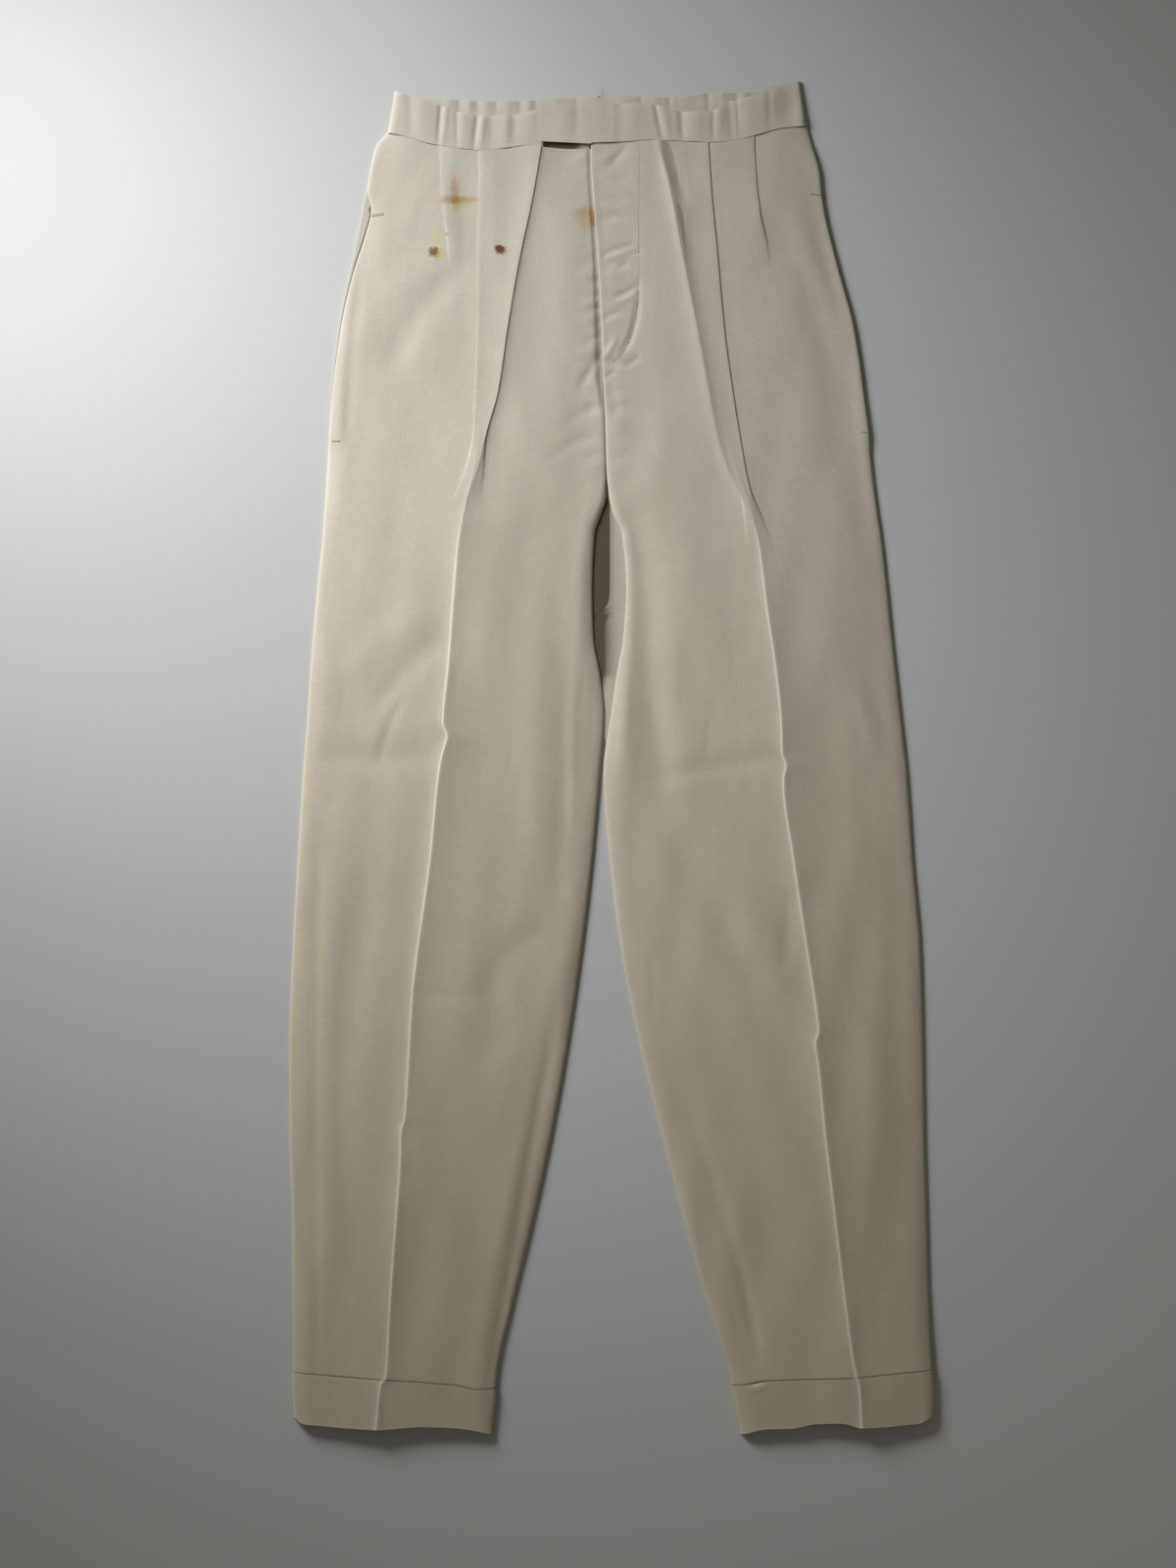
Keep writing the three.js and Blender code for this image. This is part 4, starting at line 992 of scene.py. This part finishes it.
def right_band():
    seam = seam_line(RIGHT)

    def height(x, share, left, right):
        stepped = smooth((TAB_END[0] + TAB_STEP - x) / TAB_STEP)
        free = BAND_TOP - edge_drop(share) + gather_height(RIGHT_BAND["gathers"], x, share)
        under = read(UNDER_TAB, "top", share)
        return side_fall(under + stepped * (free - under), x - left)

    # Painted shade on the band, where it shows in the slit under the tab
    def slit(x):
        return smooth((x - SLIT_START) / SLIT_RISE) * smooth((SLIT_END - x) / SLIT_FADE)

    return band_shell(
        "waistband_front_right", (RIGHT_SIDE, UNDER_TAB_END), lambda x: read(seam, "y", x),
        RIGHT_BAND["top"], height, slit,
    )


def left_band():
    seam = seam_line(LEFT)

    def foot(x):
        return np.where(x < seam["x"][0], read(TAB_FOOT, "y", x), read(seam, "y", x))

    def height(x, share, left, right):
        tab = 1 - smooth(x / TAB_STEP)
        face = BAND_TOP + tab * (TAB_TOP - BAND_TOP) - edge_drop(share) * (1 - tab)
        return side_fall(face + gather_height(LEFT_BAND["gathers"], x, share), right - x)

    return band_shell(
        "waistband_front_left", (TAB_END, LEFT_SIDE), foot, LEFT_BAND["top"], height,
    )


def back_band():
    middle = (RIGHT["back"]["inner"][-1] + LEFT["back"]["inner"][-1]) / 2

    def foot(x):
        sides = [read(leg["back_waist"], "y", x) for leg in (RIGHT, LEFT)]
        return np.where(x < middle, *sides) + BAND_SEAM

    def height(x, share, left, right):
        return BACK_TOP + gather_height(BACK_BAND["gathers"], x, share) * share * share

    return band_shell(
        "waistband_back", (RIGHT_SIDE, LEFT_SIDE), foot, BACK_BAND["top"], height
    )


def on_surface(name, x, y):
    """The highest point of a front over (x, y), in metres, or None beside it."""
    start = Vector((x * MM, y * MM, RAY_START * MM))
    return SURFACES[name].ray_cast(start, Vector((0, 0, -1)))[0]


def laid(surface, stitches):
    """Stitches from (x, y) to (x, y), laid on a front. Those that would reach past it go."""
    ends = [[on_surface(surface, *place) for place in stitch] for stitch in stitches]
    return [stitch for stitch in ends if all(place is not None for place in stitch)]


def row_stitches(surface, path):
    """A row of stitches along a path of (x, y) points."""
    path = np.array(path, dtype=float)
    lengths = np.concatenate([[0], np.cumsum(np.linalg.norm(np.diff(path, axis=0), axis=1))])
    places = [
        np.array([np.interp(place, lengths, path[:, axis]) for axis in (0, 1)])
        for place in np.arange(0, lengths[-1], STITCH_LENGTH + STITCH_GAP)
    ]
    share = STITCH_LENGTH / (STITCH_LENGTH + STITCH_GAP)
    return laid(surface, [(a, a + share * (b - a)) for a, b in zip(places, places[1:])])


def bar_tack(surface, x, y, length, height, angle):
    """A dense block of stitches across a pocket's end."""
    lean = math.radians(angle)
    along = np.array([math.cos(lean), math.sin(lean)])
    across = np.array([-math.sin(lean), math.cos(lean)]) * height / 2
    shares = np.linspace(-0.5, 0.5, round(length / STITCH_WIDTH))
    middles = [np.array([x, y]) + share * length * along for share in shares]
    return laid(surface, [(middle - across, middle + across) for middle in middles])


def thread_piece(name, stitches, material):
    """Stitches as one piece: each is a thin closed tube between two points in metres."""
    points, faces = [], []
    for start, end in stitches:
        along = (end - start).normalized()
        side = along.cross(Vector((0, 0, 1))).normalized()
        up = side.cross(along)
        first = len(points)
        for share, scale, lift in STITCH_RINGS:
            centre = start.lerp(end, share) + up * lift * MM
            for corner in range(STITCH_CORNERS):
                angle = corner * math.tau / STITCH_CORNERS
                offset = side * math.cos(angle) + up * math.sin(angle)
                points.append(centre + offset * (STITCH_WIDTH * MM / 2 * scale))
        rings = np.arange(first, len(points)).reshape(-1, STITCH_CORNERS)
        turned = np.roll(rings, -1, axis=1)
        tube = np.stack([rings[:-1], turned[:-1], turned[1:], rings[1:]], axis=-1)
        faces += tube.reshape(-1, 4).tolist() + [rings[0, ::-1].tolist(), rings[-1].tolist()]
    mesh = bpy.data.meshes.new(name)
    mesh.from_pydata([tuple(point) for point in points], [], faces)
    mesh.shade_smooth()
    mesh.materials.append(material)
    piece = placed(name, mesh)
    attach(piece, "root")


def stitches(material):
    fly = row_stitches("front_left", FLY_STITCH) + row_stitches("front_right", WAIST_STITCH)
    thread_piece("fly_stitches", fly, material)
    loose = [Vector(point) * MM for point in LOOSE_THREAD]
    thread_piece("loose_thread", zip(loose, loose[1:]), material)
    for leg in (RIGHT, LEFT):
        tacks = [each for tack in leg["tacks"] for each in bar_tack("front_" + leg["name"], *tack)]
        thread_piece("pocket_tacks_" + leg["name"], tacks, material)


# The cloth's finish. A change is what a colour is multiplied by.
CLOTH_COLOUR = (0.63, 0.576, 0.48)
FACING_COLOUR = (0.62, 0.573, 0.478)
# Painted shade: its colour where the attribute is below zero, and its most share
PAINTED_SHADE_COLOUR = (0.09, 0.068, 0.045)
PAINTED_SHADE_SHARE = 0.97
WORN = (1.26, 1.26, 1.26)
WORN_SHARE = 0.75
# Yellower and a little darker towards the hems, by height
HEM_TINT = (0.97, 0.945, 0.82)
HEM_TINT_SPAN = (0.45, -0.5)  # Y in metres, from no tint at all to the full tint
PALE = (1.14, 1.14, 1.14)
DULL = (0.82, 0.82, 0.82)
NOISE_ROUGHNESS = 0.55
NOISE_MIDDLE = 0.5  # the value that noise varies about
NOISES = [
    # name, what it lies in, the size of its grain in millimetres, detail, roughness
    ("warp", "grain", (1.5, 38, 1), 3),
    ("weft", "grain", (13, 1.5, 1), 3),
    ("fleck", "grain", (0.9, 3.2, 1), 2),
    ("warp slub", "grain", (1.1, 16, 1), 2),
    ("weft slub", "grain", (14, 1.1, 1), 2),
    ("crumple", "grain", (10, 30, 1), 3),
    ("patches", "place", (46, 95, 40), 3),
    ("clouds", "place", (13, 24, 13), 4, 0.6),
    ("tint", "place", (30, 70, 30), 2),
]
WARP_SLUB = ("warp slub", 0.63, 0.75)
WEFT_SLUB = ("weft slub", 0.65, 0.77)
TONES = [
    # noise, where the tone starts and where it is full, its share there, and its change
    ("patches", 0.3, 0.7, 1, (0.9, 0.9, 0.9)),
    ("tint", 0.56, 0.78, 0.7, (0.93, 0.97, 0.90)),
    ("tint", 0.44, 0.24, 0.6, (1.0, 0.955, 0.95)),
    ("clouds", 0.35, 0.7, 0.45, DULL),
    ("warp", 0.35, 0.7, 0.5, DULL),
    ("fleck", 0.35, 0.7, 0.75, DULL),
    ("weft", 0.35, 0.7, 0.16, PALE),
    (*WARP_SLUB, 0.3, PALE),
    (*WEFT_SLUB, 0.25, DULL),
]
WARP_PITCH = 0.75  # width of a thread, in millimetres
WEFT_PITCH = 0.85
BUMPS = [(0.35, 0.12), (0.5, 0.22), (1.0, 0.2)]  # strength and depth: weave, streaks, crumples
STREAK_ROUGHNESS = (0.6, 1.8, 0.95, 0.82)  # least and most streaks, and the roughness there
CLOTH_SHADER = {"Specular IOR Level": 0.25, "Sheen Weight": 0.2, "Sheen Roughness": 0.45}
PLAIN_DETAIL = 2
THREAD = dict(colour=(0.60, 0.55, 0.45), dull=0.8, size=0.5, roughness=0.7, bump=(0.4, 0.1))
FLOOR = dict(colour=(0.58, 0.575, 0.56), dull=0.97, size=300, roughness=0.9)

# The stains on the right front: centre, half axes, lean in degrees, strength and colour.
GREENISH = (0.54, 0.56, 0.45)
STAINS = [
    # a cross, with a dark middle, a yellow blotch below it and a pink edge
    (-137, 452, 7, 8, 0, 0.3, (0.64, 0.48, 0.42)),
    (-124, 450.8, 16, 3.8, 2, 0.66, (0.42, 0.27, 0.10)),
    (-126.5, 455, 3.6, 15, 4, 0.6, (0.44, 0.30, 0.12)),
    (-121, 446, 6.5, 4, 0, 0.42, (0.58, 0.47, 0.18)),
    (-126, 450.6, 4, 3, 0, 0.65, (0.33, 0.19, 0.07)),
    # an olive spot under a yellow run
    (-141.5, 421, 3.6, 9, -6, 0.5, (0.56, 0.52, 0.24)),
    (-139.5, 407.5, 5.5, 5, 0, 0.6, (0.55, 0.45, 0.13)),
    (-143.7, 408.7, 4.4, 4.4, 0, 0.93, (0.19, 0.115, 0.035)),
    (-133, 423, 1.6, 1.6, 0, 0.65, (0.33, 0.27, 0.25)),
    # a red spot
    (-88.5, 409.5, 5, 4.2, -25, 0.5, (0.55, 0.30, 0.16)),
    (-90.3, 410.6, 4.6, 3.8, -25, 0.97, (0.14, 0.045, 0.025)),
    # a rusty patch that the fly's edge cuts off
    (-20, 437, 9, 10, 0, 0.6, (0.54, 0.34, 0.14)),
    (-15.5, 436, 3.6, 7, 0, 0.72, (0.37, 0.19, 0.07)),
    # pale washed places
    (-126, 481, 12, 7, 0, 0.4, GREENISH),
    (-82, 422, 9, 8, 0, 0.35, GREENISH),
]
STAIN_NOISE = ((3, 3, 3), 4, 0.65)  # grain, detail and roughness
STAIN_EDGE = 0.8  # how far noise pushes a stain's edge in and out
STAIN_FADE = (0.5, 1.3)  # share of a stain's half axes at which it starts to fade, and is gone

# The studio, in metres except where it says millimetres
VIEW_CENTRE = (-19.05, -21.43)  # what the camera looks straight down on, in millimetres
VIEW_LONG_SIDE = 1269.8  # millimetres that the picture's long side takes in
LENS = 70
SENSOR = 36
LIGHTS = [
    # name, place, aim, size, power, spread, colour
    ("key", (-0.92, 0.84, 0.6), (-0.1, 0.08, 0), 0.6, 5.2, 81, (0.975, 0.985, 1.0)),
    ("fill", (0.9, -0.5, 2.0), (0, 0, 0), 2.2, 0.9, 180, (1.0, 0.94, 0.84)),
]
WORLD_COLOUR = (1.0, 0.94, 0.85)
WORLD_STRENGTH = 0.1
FLOOR_SIZE = 60
FLOOR_DROP = 0.3  # millimetres that the floor lies under the cloth


class Nodes:
    """Short ways to add nodes to a material. A value is a number, a colour or another output."""

    def __init__(self, name):
        self.material = bpy.data.materials.new(name)
        self.material.use_nodes = True
        self.tree = self.material.node_tree
        self.inputs = self.tree.nodes["Principled BSDF"].inputs

    def put(self, socket, value):
        if isinstance(value, bpy.types.NodeSocket):
            self.tree.links.new(value, socket)
        elif value is not None:
            socket.default_value = value

    def add(self, kind, settings=(), out=0, **values):
        """A new node's output. Inputs go by name, or by number as i0, i1 and so on, where a
        name has a space in it or is there twice."""
        node = self.tree.nodes.new(kind)
        for name, value in dict(settings).items():
            setattr(node, name, value)
        for name, value in values.items():
            self.put(node.inputs[int(name[1:]) if name[0] == "i" else name], value)
        return node.outputs[out]

    def attribute(self, name, out):
        return self.add("ShaderNodeAttribute", {"attribute_name": name}, out)

    def place(self):
        """Where a point lies in the piece, which is where it lies in the scene, in metres."""
        return self.add("ShaderNodeTexCoord", out="Object")

    def axis(self, vector, axis):
        return self.add("ShaderNodeSeparateXYZ", out=axis, i0=vector)

    def maths(self, operation, a, b=None):
        return self.add("ShaderNodeMath", {"operation": operation}, i0=a, i1=b)

    def scaled(self, vector, sizes):
        """A vector measured in sizes, given in millimetres."""
        scale = [1 / (size * MM) for size in sizes]
        return self.add("ShaderNodeVectorMath", {"operation": "MULTIPLY"}, i0=vector, i1=scale)

    def noise(self, vector, sizes, detail, roughness=NOISE_ROUGHNESS):
        vector = self.scaled(vector, sizes)
        return self.add(
            "ShaderNodeTexNoise", Vector=vector, Scale=1, Detail=detail, Roughness=roughness
        )

    def span(self, value, low, high, to_low=0.0, to_high=1.0):
        smoothly = {"interpolation_type": "SMOOTHSTEP"}
        return self.add(
            "ShaderNodeMapRange", smoothly, i0=value, i1=low, i2=high, i3=to_low, i4=to_high
        )

    def mix(self, share, first, second, blend="MIX"):
        first, second = (
            (*colour, 1) if isinstance(colour, tuple) else colour for colour in (first, second)
        )
        settings = {"data_type": "RGBA", "blend_type": blend}
        return self.add("ShaderNodeMix", settings, 2, i0=share, i6=first, i7=second)

    def bump(self, height, strength, depth, normal=None):
        """Bumps of a depth in millimetres."""
        return self.add(
            "ShaderNodeBump", Strength=strength, Distance=depth * MM, Height=height, Normal=normal
        )


def times(colour, change):
    return tuple(part * by for part, by in zip(colour, change))


def stained(nodes, place, colour):
    """The colour with each stain laid over it."""
    ragged = nodes.noise(place, *STAIN_NOISE)
    ragged = nodes.maths("MULTIPLY", nodes.maths("SUBTRACT", ragged, NOISE_MIDDLE), 2 * STAIN_EDGE)
    for x, y, half_width, half_height, lean, strength, tone in STAINS:
        within = nodes.add(
            "ShaderNodeMapping", {"vector_type": "TEXTURE"}, Vector=place,
            Location=(x * MM, y * MM, 0), Rotation=(0, 0, math.radians(lean)),
            Scale=(half_width * MM, half_height * MM, 1),
        )
        length = nodes.add("ShaderNodeVectorMath", {"operation": "LENGTH"}, "Value", i0=within)
        distance = nodes.maths("ADD", length, ragged)
        colour = nodes.mix(nodes.span(distance, *STAIN_FADE, strength, 0.0), colour, tone)
    return colour


def cloth_material(name, base, spots):
    nodes = Nodes(name)
    grain, wear_and_shade = nodes.attribute("grain", "Vector"), nodes.attribute("wear_and_shade", "Fac")
    place = nodes.place()
    spaces = {"grain": grain, "place": place}
    fields = {name: nodes.noise(spaces[space], *noise) for name, space, *noise in NOISES}

    colour = base
    for field, low, high, share, change in TONES:
        mask = nodes.span(fields[field], low, high, 0, share)
        colour = nodes.mix(mask, colour, times(base, change))
    hem_tint = nodes.span(nodes.axis(place, "Y"), *HEM_TINT_SPAN)
    colour = nodes.mix(hem_tint, colour, HEM_TINT, "MULTIPLY")
    if spots:
        colour = stained(nodes, place, colour)
    colour = nodes.mix(nodes.span(wear_and_shade, 0, 1, 0, WORN_SHARE), colour, times(base, WORN))
    # Painted shade where the attribute is below zero
    colour = nodes.mix(nodes.span(wear_and_shade, 0, -1, 0, PAINTED_SHADE_SHARE), colour, PAINTED_SHADE_COLOUR)
    nodes.put(nodes.inputs["Base Color"], colour)

    # Plain weave: each thread goes over and under in turn.
    pitch = nodes.scaled(grain, (WARP_PITCH, WEFT_PITCH, 1))
    over, under = (
        nodes.maths("SINE", nodes.maths("MULTIPLY", nodes.axis(pitch, axis), math.pi))
        for axis in ("X", "Y")
    )
    weave = nodes.maths("MULTIPLY", over, under)
    streaks = nodes.maths("ADD", fields["warp"], fields["weft"])
    for field, low, high in (WARP_SLUB, WEFT_SLUB):
        streaks = nodes.maths("ADD", streaks, nodes.span(fields[field], low, high))
    normal = None
    for height, (strength, depth) in zip((weave, streaks, fields["crumple"]), BUMPS):
        normal = nodes.bump(height, strength, depth, normal)
    nodes.put(nodes.inputs["Normal"], normal)
    nodes.put(nodes.inputs["Roughness"], nodes.span(streaks, *STREAK_ROUGHNESS))
    for socket, value in CLOTH_SHADER.items():
        nodes.inputs[socket].default_value = value
    return nodes.material


def plain_material(name, colour, dull, size, roughness, bump=None):
    """One colour that varies softly, with noise of the given size in millimetres."""
    nodes = Nodes(name)
    mottle = nodes.noise(nodes.place(), (size, size, size), PLAIN_DETAIL)
    darker = times(colour, (dull, dull, dull))
    nodes.put(nodes.inputs["Base Color"], nodes.mix(mottle, colour, darker))
    nodes.inputs["Roughness"].default_value = roughness
    if bump:
        nodes.put(nodes.inputs["Normal"], nodes.bump(mottle, *bump))
    return nodes.material


def studio():
    scene = bpy.context.scene
    data = bpy.data.cameras.new("camera")
    data.lens = LENS
    data.sensor_width = SENSOR
    data.sensor_fit = "AUTO"
    height = LENS / SENSOR * VIEW_LONG_SIDE * MM
    scene.camera = placed("camera", data, (VIEW_CENTRE[0] * MM, VIEW_CENTRE[1] * MM, height))

    for name, place, aim, size, power, spread, colour in LIGHTS:
        data = bpy.data.lights.new(name, "AREA")
        data.shape = "DISK"
        data.size = size
        data.energy = power
        data.color = colour
        data.spread = math.radians(spread)
        light = placed(name, data, place)
        light.rotation_euler = (Vector(aim) - light.location).to_track_quat("-Z", "Y").to_euler()

    scene.world = bpy.data.worlds.new("world")
    scene.world.use_nodes = True
    background = scene.world.node_tree.nodes["Background"].inputs
    background["Color"].default_value = (*WORLD_COLOUR, 1)
    background["Strength"].default_value = WORLD_STRENGTH
    scene.view_settings.view_transform = "Standard"

    mesh = bpy.data.meshes.new("floor")
    half = FLOOR_SIZE / 2
    corners = [(-half, -half, 0), (half, -half, 0), (half, half, 0), (-half, half, 0)]
    mesh.from_pydata(corners, [], [(0, 1, 2, 3)])
    mesh.materials.append(plain_material("floor", **FLOOR))
    placed("floor", mesh, (0, 0, -FLOOR_DROP * MM))


cloth = cloth_material("cloth", CLOTH_COLOUR, False)
stained_cloth = cloth_material("stained_cloth", CLOTH_COLOUR, True)
facing_cloth = cloth_material("pocket_cloth", FACING_COLOUR, False)
for leg in (RIGHT, LEFT):
    front_panel(leg).data.materials.append(stained_cloth if leg is RIGHT else cloth)
    for make in (back_panel, front_turnup, back_turnup):
        make(leg).data.materials.append(cloth)
    pocket_facing(leg).data.materials.append(facing_cloth)
for make in (back_band, right_band, left_band):
    make().data.materials.append(cloth)
stitches(plain_material("thread", **THREAD))
studio()
